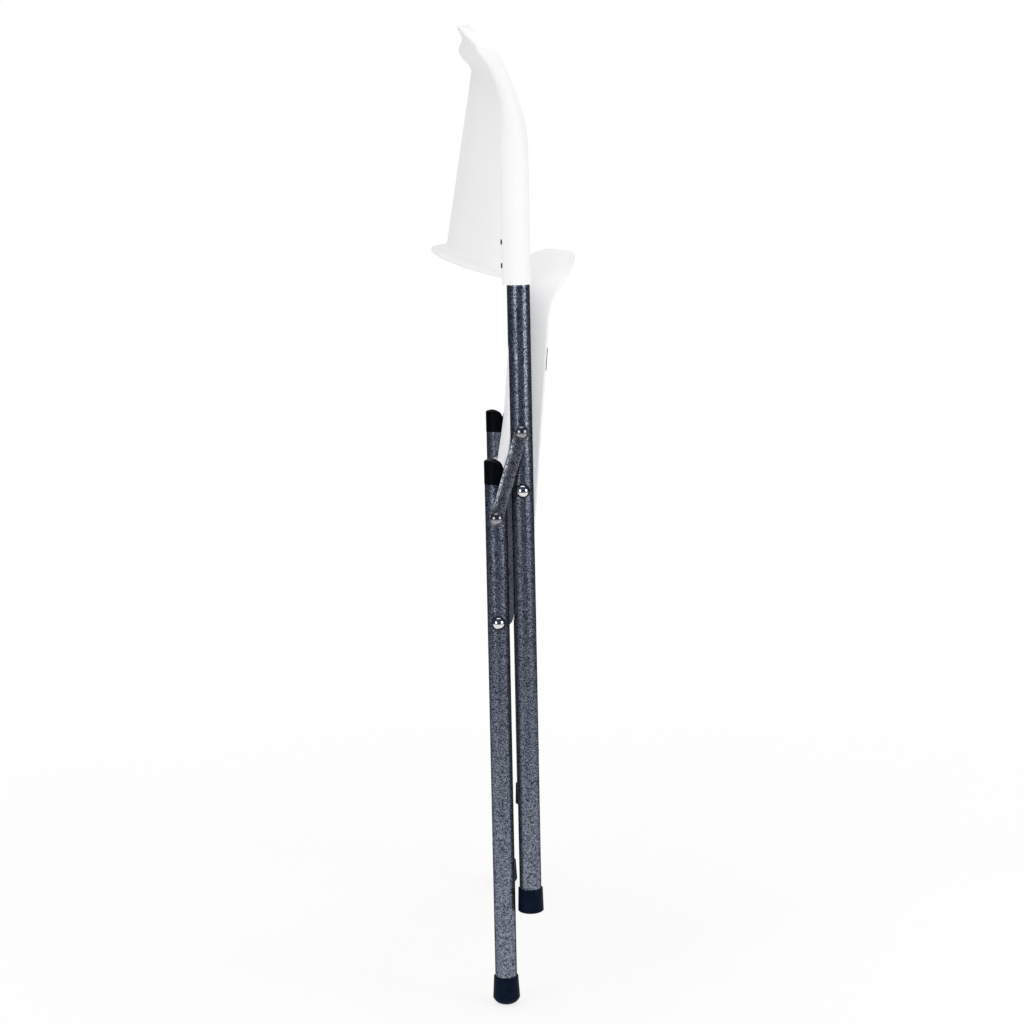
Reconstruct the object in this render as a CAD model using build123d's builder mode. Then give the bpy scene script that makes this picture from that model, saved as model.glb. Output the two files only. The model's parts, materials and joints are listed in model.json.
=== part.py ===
from build123d import *
import os
from math import asin, atan2, cos, degrees, hypot, radians, sin, sqrt, tan

# Folding chair, folded flat and standing on its rear feet.
# Millimetres and degrees. +X is the chair's front, +Y its left side, +Z up.
# The origin is under the middle of the folded chair, at the bottom of the rear feet.

# Tubes of the two frames
TUBE_OD = 22.0
TUBE_WALL = 1.2
TRACK = 430.0               # between the axes of the right and left tubes
FRAME_GAP = 4.5             # clear space between a front and a rear tube, folded
BRACE_OD = 16.0
BRACE_WALL = 1.2
FRONT_BRACE_RISE = 165.0    # above the bottom of the front feet
REAR_BRACE_Z = 165.0

# Pivots of the fold, as seen from the side
SEAT_PIVOT_Z = 527.0
LINK_PIVOT_RISE = 59.0      # link on the front leg, above the seat pivot
LINK_END_DROP = 26.5        # link on the rear leg, below the seat pivot
REAR_PIVOT_DROP = 132.0     # seat on the rear leg, below the seat pivot
SEAT_OPEN_ANGLE = 105.0     # turn of the seat from folded to open

# Feet
FOOT_WALL = 1.4             # rubber round the tube at the mouth of a foot
FOOT_CLEARANCE = 0.1
FOOT_BULGE = 0.17           # roundness of the dome, as a share of its height
FRONT_FOOT_Z = 95.5         # bottom of the front feet
FRONT_FOOT_HEIGHT = 25.0
FRONT_FOOT_FLOOR = 6.0
FRONT_FOOT_DOME = 2.0
FRONT_FOOT_FLAT = 8.5       # radius of the flat that stands on the floor
FRONT_FOOT_FLARE = 0.6      # how much the wall grows towards the bottom
REAR_FOOT_HEIGHT = 29.0
REAR_FOOT_FLOOR = 10.0
REAR_FOOT_DOME = 7.0
REAR_FOOT_FLAT = 4.5
REAR_FOOT_FLARE = 1.3

# Caps on the rear legs, cut to lie against the front legs when the chair is open
REAR_LEG_TOP_Z = 557.5
CAP_HEIGHT = 24.0
CAP_WALL = 1.1
CAP_ROOF = 3.0              # plastic over the end of the tube
CAP_CLEARANCE = 0.1
REST_GROOVE = 1.5           # how deep the open front leg sits in the cap
REST_CLEARANCE = 0.3

# Rivets, washers and links
SHANK_R = 3.2
PIVOT_CLEARANCE = 0.05
HEAD_R = 5.6
HEAD_BRIM = 0.7             # straight edge of a head, under its dome
HEAD_DOME = 2.7
TAIL_R = 5.0
TAIL_HEIGHT = 1.8
FLUSH_TAIL_HEIGHT = 1.1     # flattened tails that the seat bracket passes
SIDE_PLAY = 0.1             # between pieces that turn on one rivet
LINK_WIDTH = 13.6
LINK_THICKNESS = 2.5
LINK_WASHER_R = 6.5
LINK_WASHER_T = 1.5
HEAD_WASHER_R = 7.2
HEAD_WASHER_T = 0.8
SPACER_R = 8.0
SPACER_T = 1.5

# Seat brackets and their screws
BRACKET_T = 3.0
BRACKET_REAR_R = 12.5
BRACKET_REAR_AHEAD = 2.5            # rounded rear end, ahead of the rear pivot
BRACKET_REAR_RISE = 3.0             # and above it
BRACKET_PIVOT_R = 11.0
BRACKET_ARM = 65.0                  # bracket's reach above the seat pivot, folded
BRACKET_ARM_R = 9.0
BRACKET_SCREW_SHARES = (0.35, 0.7)  # screw places from the rear pivot to the seat pivot
BRACKET_ARM_SCREW = 47.0            # front screw above the seat pivot, folded
SCREW_SHANK_R = 2.0
SCREW_HEAD_R = 4.0
SCREW_LENGTH = 10.0                 # thread beyond the bracket
SCREW_CLEARANCE = 0.05
BOSS_R = 5.5
BOSS_TIP = 2.0                      # plastic beyond the end of the thread

# Seat, measured from its pivot along the seat and square to it
SEAT_LEAN = 5.0             # folded seat, forward of the front legs
SEAT_FRONT = 228.5
FRONT_BOW = 17.0            # how far the nose is ahead of the ends of the bowed front edge
BOW_CROWN = 2.0             # crown of the bow ahead of the nose, which stays whole in the middle
SEAT_REAR = 140.0
SEAT_TOP = 24.0
SEAT_WALL = 3.5
SKIRT_DROP = 14.8           # lower edge of the side skirts, below the pivot
APRON_DROP = 42.6           # lower edge of the front apron, below the pivot
APRON_RUN = 56.0            # length over which the skirt deepens into the apron
APRON_HOLLOW = 6.0          # how far the apron's curved lower edge lies above a straight one
APRON_DRAFT = 4.3
NOSE_RADIUS = 40.0
REAR_ROUND = 16.0
FRONT_CORNER = 55.0
REAR_CORNER = 35.0
TOP_EDGE_ROUND = 8.0
DISH_RADIUS = 165.0
DISH_DEPTH = 5.0
DISH_PLACE = 20.0           # middle of the dish, forward of the pivot
RIB_T = 2.5
RIB_DEPTH = 14.0
LONG_RIB_SPACING = 75.0
LONG_RIB_COUNT = 5
CROSS_RIB_SPACING = 70.0
CROSS_RIB_COUNT = 4
CROSS_RIB_START = -85.0
TAIL_ROOM = 2.0             # round a rivet's tail in the side skirt
BUMPER_LENGTH = 22.0
BUMPER_LIP = 2.2            # lip that clips inside the skirt
BUMPER_LIP_RISE = 6.0
BUMPER_HEIGHT = 2.2
BUMPER_PLACE = 129.0        # middle of a bumper, forward of the pivot

# Backrest
BACK_Z = 730.0              # mouth of the sleeves
SLEEVE_OD = 27.6
SLEEVE_CLEARANCE = 0.1
SLEEVE_STRAIGHT = 140.0
TUBE_IN_SLEEVE = 126.0
HORN_HEIGHT = 75.0          # tapering end of a sleeve, above its straight part
HORN_TIP_R = 6.5
HORN_STEPS = 4
PANEL_RISE = 4.5            # ends of the panel's lower edge, above the sleeve mouth
PANEL_HEIGHT = 247.5
PANEL_T = 4.5
PANEL_EDGE_T = 10.0         # panel's wall along its side edges
BOTTOM_ARCH = 18.5          # middle of the lower edge, above its ends
SCOOP = 75.15               # middle of the panel behind the legs, level with the lower ends
SCOOP_LEAN = 9.5            # middle line of the panel, forward of the legs
EDGE_SWEEP = 47.7           # top ends of the side edges, behind the legs
LIP_DROP = 44.0             # start of the rolled lip, below the panel's top
LIP_FLARE = 21.5            # height over which the lip grows backward
LIP_REACH = 13.0            # lip behind the panel, in the middle
ROLL_SWEEP = 17.8           # how far the rolled top takes the front back
TOP_CORNER = 50.0
FLANGE_REACH = 16.4         # lower flange behind the panel, in the middle
FLANGE_T = 5.0
PANEL_STEPS = 11            # sections below the lip
LIP_STEPS = 3               # sections above the lip's flare
BACK_SCREW_RISES = (18.5, 41.5)     # above the sleeve mouth
BACK_SCREW_R = 1.9
BACK_SCREW_HEAD_R = 3.2
BACK_SCREW_HEAD_T = 1.4

SIDES = {"right": -1, "left": 1}

# Places worked out from the sizes above
tube_r = TUBE_OD / 2
tube_bore_r = tube_r - TUBE_WALL
half_track = TRACK / 2
front_x = (TUBE_OD + FRAME_GAP) / 2
rear_x = -front_x
seat_pivot = (front_x, SEAT_PIVOT_Z)
link_pivot = (front_x, SEAT_PIVOT_Z + LINK_PIVOT_RISE)
link_end = (rear_x, SEAT_PIVOT_Z - LINK_END_DROP)
rear_pivot = (rear_x, SEAT_PIVOT_Z - REAR_PIVOT_DROP)

# Layers across one side of the chair, as distances from its middle plane
outer_skin = half_track + tube_r
inner_skin = half_track - tube_r
link_inner = outer_skin + LINK_WASHER_T + SIDE_PLAY
link_outer = link_inner + LINK_THICKNESS
bracket_outer = inner_skin - SPACER_T - SIDE_PLAY
bracket_inner = bracket_outer - BRACKET_T
tail_outer = bracket_inner - SIDE_PLAY

os.makedirs("parts", exist_ok=True)


def turned(point, centre, angle):
    """A point of the side view turned about a centre, taking the seat's front forward and down."""
    dx = point[0] - centre[0]
    dz = point[1] - centre[1]
    return (
        centre[0] + dx * cos(angle) + dz * sin(angle),
        centre[1] - dx * sin(angle) + dz * cos(angle),
    )


def heading(start, end):
    """Angle of the line from start to end, from straight up towards the front."""
    return atan2(end[0] - start[0], end[1] - start[1])


def open_link_end(rear_pivot_open):
    """Place of the link's rear end when the chair is open, from the two bars that meet there."""
    link_length = hypot(link_end[0] - link_pivot[0], link_end[1] - link_pivot[1])
    rear_length = hypot(link_end[0] - rear_pivot[0], link_end[1] - rear_pivot[1])
    dx = link_pivot[0] - rear_pivot_open[0]
    dz = link_pivot[1] - rear_pivot_open[1]
    span = hypot(dx, dz)
    along = (rear_length**2 - link_length**2 + span**2) / (2 * span)
    aside = sqrt(rear_length**2 - along**2)
    return (
        rear_pivot_open[0] + (along * dx - aside * dz) / span,
        rear_pivot_open[1] + (along * dz + aside * dx) / span,
    )


# The open chair, as the front legs see it
rear_pivot_open = turned(rear_pivot, seat_pivot, radians(SEAT_OPEN_ANGLE))
link_end_open = open_link_end(rear_pivot_open)
rear_turn = heading(rear_pivot_open, link_end_open) - heading(rear_pivot, link_end)
link_turn = heading(link_pivot, link_end_open) - heading(link_pivot, link_end)


def seen_from_rear_leg(point):
    """A point of the open front legs, carried to where it lies beside the folded rear legs."""
    x, z = turned(point, rear_pivot_open, -rear_turn)
    return (x - rear_pivot_open[0] + rear_pivot[0], z - rear_pivot_open[1] + rear_pivot[1])


def side_plane(y):
    """Plane of the side view at a distance to the left, with X and Z as its axes."""
    return Plane.XZ.offset(-y)


def upright_plane(x, y, z):
    """Plane of the side view with its own origin, for turning a profile about an upright axis."""
    return Plane(origin=(x, y, z), x_dir=(1, 0, 0), z_dir=(0, -1, 0))


def rivet_plane(pivot, side):
    """Half-section plane of a rivet: local X points out of the chair along the rivet."""
    return Plane(origin=(pivot[0], 0, pivot[1]), x_dir=(0, side, 0), z_dir=(side, 0, 0))


def rivet_axis(pivot):
    return Axis((pivot[0], 0, pivot[1]), (0, 1, 0))


def write(part, name):
    part.label = name
    export_step(part, f"parts/{name}.step")


def tube(x, side, bottom, top, pivots, screw_heights=()):
    """Upright steel tube of one side, drilled across for its rivets and from behind for screws."""
    with BuildPart() as leg:
        with BuildSketch(Plane.XY.offset(bottom)):
            with Locations((x, side * half_track)):
                Circle(tube_r)
                Circle(tube_bore_r, mode=Mode.SUBTRACT)
        extrude(amount=top - bottom)
        for pivot in pivots:
            with BuildSketch(side_plane(side * half_track)):
                with Locations(pivot):
                    Circle(SHANK_R + PIVOT_CLEARANCE)
            extrude(amount=tube_r, both=True, mode=Mode.SUBTRACT)
        for height in screw_heights:
            with BuildSketch(Plane.YZ.offset(x)):
                with Locations((side * half_track, height)):
                    Circle(BACK_SCREW_R + SCREW_CLEARANCE)
            extrude(amount=-tube_r, mode=Mode.SUBTRACT)
    return leg.part


def foot(x, side, bottom, height, floor, dome, flat_r, flare):
    """Rubber foot pushed over a tube's end, domed round a small flat."""
    mouth_r = tube_r + FOOT_WALL
    base_r = mouth_r + flare
    bore_r = tube_r + FOOT_CLEARANCE
    bulge = ((base_r + flat_r) / 2 + dome * FOOT_BULGE, dome / 2 - dome * FOOT_BULGE)
    with BuildPart() as shoe:
        with BuildSketch(upright_plane(x, side * half_track, bottom)):
            with BuildLine():
                Line((0, 0), (flat_r, 0))
                ThreePointArc((flat_r, 0), bulge, (base_r, dome))
                Line((base_r, dome), (mouth_r, height))
                Line((mouth_r, height), (bore_r, height))
                Line((bore_r, height), (bore_r, floor))
                Line((bore_r, floor), (0, floor))
                Line((0, floor), (0, 0))
            make_face()
        revolve(axis=Axis((x, side * half_track, 0), (0, 0, 1)))
    return shoe.part


def brace(x, z):
    """Cross tube between a pair of legs, coped to their round sides."""
    with BuildPart() as bar:
        with BuildSketch(Plane.XZ):
            with Locations((x, z)):
                Circle(BRACE_OD / 2)
                Circle(BRACE_OD / 2 - BRACE_WALL, mode=Mode.SUBTRACT)
        extrude(amount=half_track, both=True)
        for side in SIDES.values():
            with BuildSketch(Plane.XY.offset(z)):
                with Locations((x, side * half_track)):
                    Circle(tube_r)
            extrude(amount=BRACE_OD, both=True, mode=Mode.SUBTRACT)
    return bar.part


def washers(pivot, radius, tube_x, start, end):
    """Pair of washers between two layers, hollowed where they lie on the round tubes."""
    with BuildPart() as pair:
        for side in SIDES.values():
            with BuildSketch(side_plane(max(side * start, side * end))):
                with Locations(pivot):
                    Circle(radius)
                    Circle(SHANK_R + PIVOT_CLEARANCE, mode=Mode.SUBTRACT)
            extrude(amount=end - start)
            with BuildSketch(Plane.XY.offset(pivot[1])):
                with Locations((tube_x, side * half_track)):
                    Circle(tube_r)
            extrude(amount=radius, both=True, mode=Mode.SUBTRACT)
    return pair.part


def rivet_head(head_face, shank_end):
    """Half section of a rivet's round-topped head and its shank."""
    brim = head_face + HEAD_BRIM
    tip = brim + HEAD_DOME
    dome_r = (HEAD_R**2 + HEAD_DOME**2) / (2 * HEAD_DOME)
    half_arc = asin(HEAD_R / dome_r) / 2
    Line((shank_end, 0), (shank_end, SHANK_R))
    Line((shank_end, SHANK_R), (head_face, SHANK_R))
    Line((head_face, SHANK_R), (head_face, HEAD_R))
    Line((head_face, HEAD_R), (brim, HEAD_R))
    crown = (tip - dome_r * (1 - cos(half_arc)), dome_r * sin(half_arc))
    ThreePointArc((brim, HEAD_R), crown, (tip, 0))
    Line((tip, 0), (shank_end, 0))


def rivets(pivot, head_face, tail_face, tail_height):
    """Pair of rivets on one pivot, heads outward and tails towards the seat."""
    with BuildPart() as pair:
        for side in SIDES.values():
            with BuildSketch(rivet_plane(pivot, side)):
                with BuildLine():
                    rivet_head(head_face, tail_face)
                make_face()
            revolve(axis=rivet_axis(pivot))
            with BuildSketch(side_plane(max(side * tail_face, side * (tail_face - tail_height)))):
                with Locations(pivot):
                    Circle(TAIL_R)
            extrude(amount=tail_height)
    return pair.part


# Front legs, their brace and their feet
back_screw_heights = [BACK_Z + rise for rise in BACK_SCREW_RISES]
for word, side in SIDES.items():
    front_leg = tube(
        front_x,
        side,
        FRONT_FOOT_Z + FRONT_FOOT_FLOOR,
        BACK_Z + TUBE_IN_SLEEVE,
        (link_pivot, seat_pivot),
        back_screw_heights,
    )
    write(front_leg, f"{word}_front_leg")
    front_foot = foot(
        front_x,
        side,
        FRONT_FOOT_Z,
        FRONT_FOOT_HEIGHT,
        FRONT_FOOT_FLOOR,
        FRONT_FOOT_DOME,
        FRONT_FOOT_FLAT,
        FRONT_FOOT_FLARE,
    )
    write(front_foot, f"{word}_front_foot")
write(brace(front_x, FRONT_FOOT_Z + FRONT_BRACE_RISE), "front_cross_brace")


# Backrest: a scooped panel between two sleeves that take the front legs
panel_bottom = BACK_Z + PANEL_RISE
panel_top = panel_bottom + PANEL_HEIGHT
lip_bottom = panel_top - LIP_DROP
lip_edge = lip_bottom + LIP_FLARE
sleeve_top = BACK_Z + SLEEVE_STRAIGHT
sleeve_r = SLEEVE_OD / 2
scoop_slope = tan(radians(SCOOP_LEAN))
arch_r = (half_track**2 + BOTTOM_ARCH**2) / (2 * BOTTOM_ARCH)
arch_z = panel_bottom + BOTTOM_ARCH - arch_r
behind = Plane.YZ.offset(-SCOOP - FLANGE_REACH)
through = 2 * (SCOOP + FLANGE_REACH)


def bend(rise, full_rise, full_sweep):
    """Backward shift and slope of an arc that starts upright and ends at its full rise and sweep."""
    radius = (full_rise**2 + full_sweep**2) / (2 * full_sweep)
    level = sqrt(radius**2 - max(rise, 0.0) ** 2)
    return radius - level, max(rise, 0.0) / level


def edge_line(z):
    """Depth of the panel's side edges at a height, and their backward slope."""
    shift, slope = bend(z - sleeve_top, panel_top - sleeve_top, EDGE_SWEEP)
    return front_x - shift, slope


def middle_line(z):
    """Depth of the unrolled panel's middle line at a height."""
    return front_x - SCOOP + scoop_slope * (z - panel_bottom)


def middle_front(z):
    """Depth of the panel's front in the middle, rolled back above the lip's start."""
    return middle_line(z) + PANEL_T / 2 - bend(z - lip_bottom, LIP_DROP, ROLL_SWEEP)[0]


def middle_back(z):
    """Depth of the panel's back in the middle, flared out to the lip."""
    flare = min(max(z - lip_bottom, 0.0) / LIP_FLARE, 1.0)
    return middle_line(min(z, lip_bottom)) - PANEL_T / 2 - LIP_REACH * flare


def scoop_curve(edge_x, middle_x):
    """Level curve across the panel, from the right sleeve through the middle to the left one."""
    return Bezier((edge_x, -half_track), (2 * middle_x - edge_x, 0), (edge_x, half_track))


panel_heights = [BACK_Z + (lip_bottom - BACK_Z) * step / PANEL_STEPS for step in range(PANEL_STEPS + 1)]
panel_heights += [lip_edge + (panel_top - lip_edge) * step / LIP_STEPS for step in range(LIP_STEPS + 1)]

with BuildPart() as flange:
    with BuildSketch(Plane.XY.offset(BACK_Z)):
        with BuildLine():
            flange_x = middle_line(panel_bottom + BOTTOM_ARCH)
            scoop_curve(front_x, flange_x)
            scoop_curve(front_x, flange_x - FLANGE_REACH)
        make_face()
    extrude(amount=PANEL_HEIGHT)
    with BuildSketch(behind):
        with Locations((0, arch_z)):
            Circle(arch_r + FLANGE_T)
    extrude(amount=through, mode=Mode.INTERSECT)

with BuildPart() as backrest:
    for z in panel_heights:
        edge_x, edge_slope = edge_line(z)
        edge_half = PANEL_EDGE_T / 2 * sqrt(1 + edge_slope**2)
        with BuildSketch(Plane.XY.offset(z)):
            with BuildLine():
                front = scoop_curve(edge_x + edge_half, middle_front(z))
                back = scoop_curve(edge_x - edge_half, middle_back(z))
                Line(front @ 0, back @ 0)
                Line(front @ 1, back @ 1)
            make_face()
    loft(ruled=True)
    for side in SIDES.values():
        with BuildSketch(behind):
            with Locations((side * half_track, panel_top)):
                Rectangle(2 * TOP_CORNER, 2 * TOP_CORNER)
            with Locations((side * (half_track - TOP_CORNER), panel_top - TOP_CORNER)):
                Circle(TOP_CORNER, mode=Mode.SUBTRACT)
        extrude(amount=through, mode=Mode.SUBTRACT)
    add(flange.part)
    with BuildSketch(behind):
        with Locations((0, arch_z)):
            Circle(arch_r)
    extrude(amount=through, mode=Mode.SUBTRACT)
    for side in SIDES.values():
        with BuildSketch(Plane.XY.offset(BACK_Z)):
            with Locations((front_x, side * half_track)):
                Circle(sleeve_r)
        extrude(amount=SLEEVE_STRAIGHT)
        for step in range(HORN_STEPS + 1):
            share = step / HORN_STEPS
            z = sleeve_top + HORN_HEIGHT * share
            with BuildSketch(Plane.XY.offset(z)):
                with Locations((edge_line(z)[0], side * half_track)):
                    Circle(sleeve_r + (HORN_TIP_R - sleeve_r) * share)
        loft()
    for side in SIDES.values():
        with BuildSketch(Plane.XY.offset(BACK_Z)):
            with Locations((front_x, side * half_track)):
                Circle(tube_r + SLEEVE_CLEARANCE)
        extrude(amount=TUBE_IN_SLEEVE + SLEEVE_CLEARANCE, mode=Mode.SUBTRACT)
        for height in back_screw_heights:
            with BuildSketch(Plane.YZ.offset(front_x)):
                with Locations((side * half_track, height)):
                    Circle(BACK_SCREW_R + SCREW_CLEARANCE)
            extrude(amount=-SLEEVE_OD, mode=Mode.SUBTRACT)
write(backrest.part, "backrest")

with BuildPart() as backrest_screws:
    for side in SIDES.values():
        for height in back_screw_heights:
            with BuildSketch(Plane.YZ.offset(front_x - sleeve_r)):
                with Locations((side * half_track, height)):
                    Circle(BACK_SCREW_HEAD_R)
            extrude(amount=-BACK_SCREW_HEAD_T)
            with BuildSketch(Plane.YZ.offset(front_x - sleeve_r)):
                with Locations((side * half_track, height)):
                    Circle(BACK_SCREW_R)
            extrude(amount=sleeve_r - tube_bore_r)
write(backrest_screws.part, "backrest_screws")

# Rivets and washers that stay with the front legs
write(
    rivets(link_pivot, link_outer + SIDE_PLAY, inner_skin, FLUSH_TAIL_HEIGHT),
    "link_pivot_rivets",
)
write(
    rivets(seat_pivot, outer_skin + HEAD_WASHER_T, tail_outer, TAIL_HEIGHT),
    "seat_pivot_rivets",
)
write(
    washers(link_pivot, LINK_WASHER_R, front_x, half_track, outer_skin + LINK_WASHER_T),
    "link_pivot_washers",
)
write(
    washers(seat_pivot, HEAD_WASHER_R, front_x, half_track, outer_skin + HEAD_WASHER_T),
    "seat_pivot_washers",
)
write(
    washers(seat_pivot, SPACER_R, front_x, inner_skin - SPACER_T, half_track),
    "seat_pivot_spacers",
)

# Seat: a ribbed tray with a rolled nose, drawn from its pivot
lean = radians(SEAT_LEAN)
seat_ahead = (sin(lean), 0, cos(lean))
seat_up = (-cos(lean), 0, sin(lean))
seat_origin = (seat_pivot[0], 0, seat_pivot[1])
seat_side = Plane(origin=seat_origin, x_dir=seat_ahead, z_dir=(0, -1, 0))
seat_plan = Plane(origin=seat_origin, x_dir=seat_ahead, z_dir=seat_up)
seat_across = Plane(origin=seat_origin, x_dir=(0, 1, 0), z_dir=seat_ahead)
seat_half = bracket_inner


def seat_section(inset):
    """Side outline of the seat, drawn in by a wall, its lower edge left where it is."""
    top = SEAT_TOP - inset
    front = SEAT_FRONT - inset
    rear = -SEAT_REAR + inset
    nose = NOSE_RADIUS - inset
    rear_round = REAR_ROUND - inset
    Line((rear, -SKIRT_DROP), (rear, top - rear_round))
    TangentArc((rear, top - rear_round), (rear + rear_round, top), tangent=(0, 1))
    Line((rear + rear_round, top), (front - nose, top))
    TangentArc((front - nose, top), (front, top - nose), tangent=(1, 0))
    Line((front, top - nose), (front - APRON_DRAFT, -APRON_DROP))
    apron_front = front - APRON_DRAFT
    apron_rear = SEAT_FRONT - APRON_RUN
    hollow = ((apron_front + apron_rear) / 2, APRON_HOLLOW - (APRON_DROP + SKIRT_DROP) / 2)
    ThreePointArc((apron_front, -APRON_DROP), hollow, (apron_rear, -SKIRT_DROP))
    Line((apron_rear, -SKIRT_DROP), (rear, -SKIRT_DROP))


def seat_outline(inset):
    """Plan of the seat, drawn in by a wall, its front edge bowed forward."""
    front = SEAT_FRONT - FRONT_BOW - inset
    rear = -SEAT_REAR + inset
    half = seat_half - inset
    Line((front, -half), (rear, -half))
    Line((rear, -half), (rear, half))
    Line((rear, half), (front, half))
    ThreePointArc((front, half), (SEAT_FRONT + BOW_CROWN - inset, 0), (front, -half))


def seat_block(inset):
    """Solid of the seat's outer shape, or of the space under its wall."""
    with BuildPart() as block:
        with BuildSketch(seat_side):
            with BuildLine():
                seat_section(inset)
            make_face()
        extrude(amount=seat_half, both=True)
        with BuildSketch(seat_plan.offset(-APRON_DROP)) as outline:
            with BuildLine():
                seat_outline(inset)
            make_face()
            fillet(outline.vertices().group_by(Axis.X)[-1], FRONT_CORNER - inset)
            fillet(outline.vertices().group_by(Axis.X)[0], REAR_CORNER - inset)
        extrude(amount=APRON_DROP + SEAT_TOP, mode=Mode.INTERSECT)
        with BuildSketch(seat_across.offset(-SEAT_REAR)) as across:
            with Locations((0, SEAT_TOP - inset)):
                Rectangle(
                    2 * (seat_half - inset),
                    APRON_DROP + SEAT_TOP - inset,
                    align=(Align.CENTER, Align.MAX),
                )
            fillet(across.vertices().group_by(Axis.Y)[-1], TOP_EDGE_ROUND - inset)
        extrude(amount=SEAT_REAR + SEAT_FRONT, mode=Mode.INTERSECT)
    return block.part


def dish(inset):
    """Ball that presses the shallow dish into the seat, grown by a wall for the space below."""
    radius = (DISH_RADIUS**2 + DISH_DEPTH**2) / (2 * DISH_DEPTH)
    with BuildPart() as ball:
        with Locations(seat_plan.from_local_coords((DISH_PLACE, 0, SEAT_TOP - DISH_DEPTH + radius))):
            Sphere(radius + inset)
    return ball.part


bracket_screw_places = [
    (
        rear_pivot[0] + share * (seat_pivot[0] - rear_pivot[0]),
        rear_pivot[1] + share * (seat_pivot[1] - rear_pivot[1]),
    )
    for share in BRACKET_SCREW_SHARES
]
bracket_screw_places.append((seat_pivot[0], seat_pivot[1] + BRACKET_ARM_SCREW))

rib_bottom = SEAT_TOP - SEAT_WALL - RIB_DEPTH

with BuildPart() as seat_space:
    add(seat_block(SEAT_WALL))
    add(dish(SEAT_WALL), mode=Mode.SUBTRACT)

with BuildPart() as seat_ribs:
    with BuildSketch(seat_plan.offset(rib_bottom)):
        with GridLocations(0, LONG_RIB_SPACING, 1, LONG_RIB_COUNT):
            Rectangle(2 * (SEAT_FRONT + SEAT_REAR), RIB_T)
        for step in range(CROSS_RIB_COUNT):
            with Locations((CROSS_RIB_START + step * CROSS_RIB_SPACING, 0)):
                Rectangle(RIB_T, 2 * seat_half)
    extrude(amount=RIB_DEPTH + SEAT_WALL)
    add(seat_block(SEAT_WALL / 2), mode=Mode.INTERSECT)

with BuildPart() as seat_panel:
    add(seat_block(0))
    add(seat_space.part, mode=Mode.SUBTRACT)
    add(seat_ribs.part)
    for side in SIDES.values():
        boss_start = side * (seat_half - SEAT_WALL / 2)
        boss_end = side * (seat_half - SCREW_LENGTH - BOSS_TIP)
        for place in bracket_screw_places:
            with BuildSketch(side_plane(boss_start)):
                with Locations(place):
                    Circle(BOSS_R)
            extrude(amount=boss_start - boss_end)
            with BuildSketch(side_plane(side * seat_half)):
                with Locations(place):
                    Circle(SCREW_SHANK_R + SCREW_CLEARANCE)
            extrude(amount=side * SCREW_LENGTH, mode=Mode.SUBTRACT)
        with BuildSketch(side_plane(side * seat_half)):
            with Locations(seat_pivot):
                Circle(TAIL_R + TAIL_ROOM)
        extrude(amount=side * 2 * SEAT_WALL, mode=Mode.SUBTRACT)
    add(dish(0), mode=Mode.SUBTRACT)
write(seat_panel.part, "seat_panel")

with BuildPart() as seat_bumpers:
    for side in SIDES.values():
        with BuildSketch(seat_plan.offset(-SKIRT_DROP - BUMPER_HEIGHT)):
            with Locations((BUMPER_PLACE, side * (seat_half - SEAT_WALL / 2 - BUMPER_LIP / 2))):
                Rectangle(BUMPER_LENGTH, SEAT_WALL + BUMPER_LIP)
        extrude(amount=BUMPER_HEIGHT)
        with BuildSketch(seat_plan.offset(-SKIRT_DROP)):
            with Locations((BUMPER_PLACE, side * (seat_half - SEAT_WALL - BUMPER_LIP / 2))):
                Rectangle(BUMPER_LENGTH, BUMPER_LIP)
        extrude(amount=BUMPER_LIP_RISE)
write(seat_bumpers.part, "seat_bumpers")

# Seat brackets, which carry both seat pivots, and their sunk screws
for word, side in SIDES.items():
    with BuildPart() as bracket:
        with BuildSketch(side_plane(max(side * bracket_inner, side * bracket_outer))) as plate:
            with Locations((rear_pivot[0] + BRACKET_REAR_AHEAD, rear_pivot[1] + BRACKET_REAR_RISE)):
                Circle(BRACKET_REAR_R)
            with Locations(seat_pivot):
                Circle(BRACKET_PIVOT_R)
            with Locations((seat_pivot[0], seat_pivot[1] + BRACKET_ARM)):
                Circle(BRACKET_ARM_R)
            make_hull(plate.edges())
            with Locations(rear_pivot, seat_pivot):
                Circle(SHANK_R + PIVOT_CLEARANCE, mode=Mode.SUBTRACT)
        extrude(amount=BRACKET_T)
        for x, z in bracket_screw_places:
            with Locations(Plane(origin=(x, side * bracket_inner, z), z_dir=(0, side, 0))):
                Cone(
                    SCREW_SHANK_R + SCREW_CLEARANCE,
                    SCREW_HEAD_R + SCREW_CLEARANCE,
                    BRACKET_T,
                    align=(Align.CENTER, Align.CENTER, Align.MIN),
                    mode=Mode.SUBTRACT,
                )
    write(bracket.part, f"{word}_seat_bracket")

with BuildPart() as seat_bracket_screws:
    for side in SIDES.values():
        for x, z in bracket_screw_places:
            with Locations(Plane(origin=(x, side * bracket_inner, z), z_dir=(0, side, 0))):
                Cone(
                    SCREW_SHANK_R,
                    SCREW_HEAD_R,
                    BRACKET_T,
                    align=(Align.CENTER, Align.CENTER, Align.MIN),
                )
                Cylinder(
                    SCREW_SHANK_R,
                    SCREW_LENGTH,
                    align=(Align.CENTER, Align.CENTER, Align.MAX),
                )
write(seat_bracket_screws.part, "seat_bracket_screws")


# Rear legs, their feet, and caps cut along the open front legs
def rest_plane(distance):
    """Plane behind the open front legs, as it lies across the top of the folded rear legs."""
    x, z = seen_from_rear_leg((front_x - distance, rear_pivot_open[1]))
    return Plane(origin=(x, 0, z), x_dir=(0, 1, 0), z_dir=(cos(rear_turn), 0, sin(rear_turn)))


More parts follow.
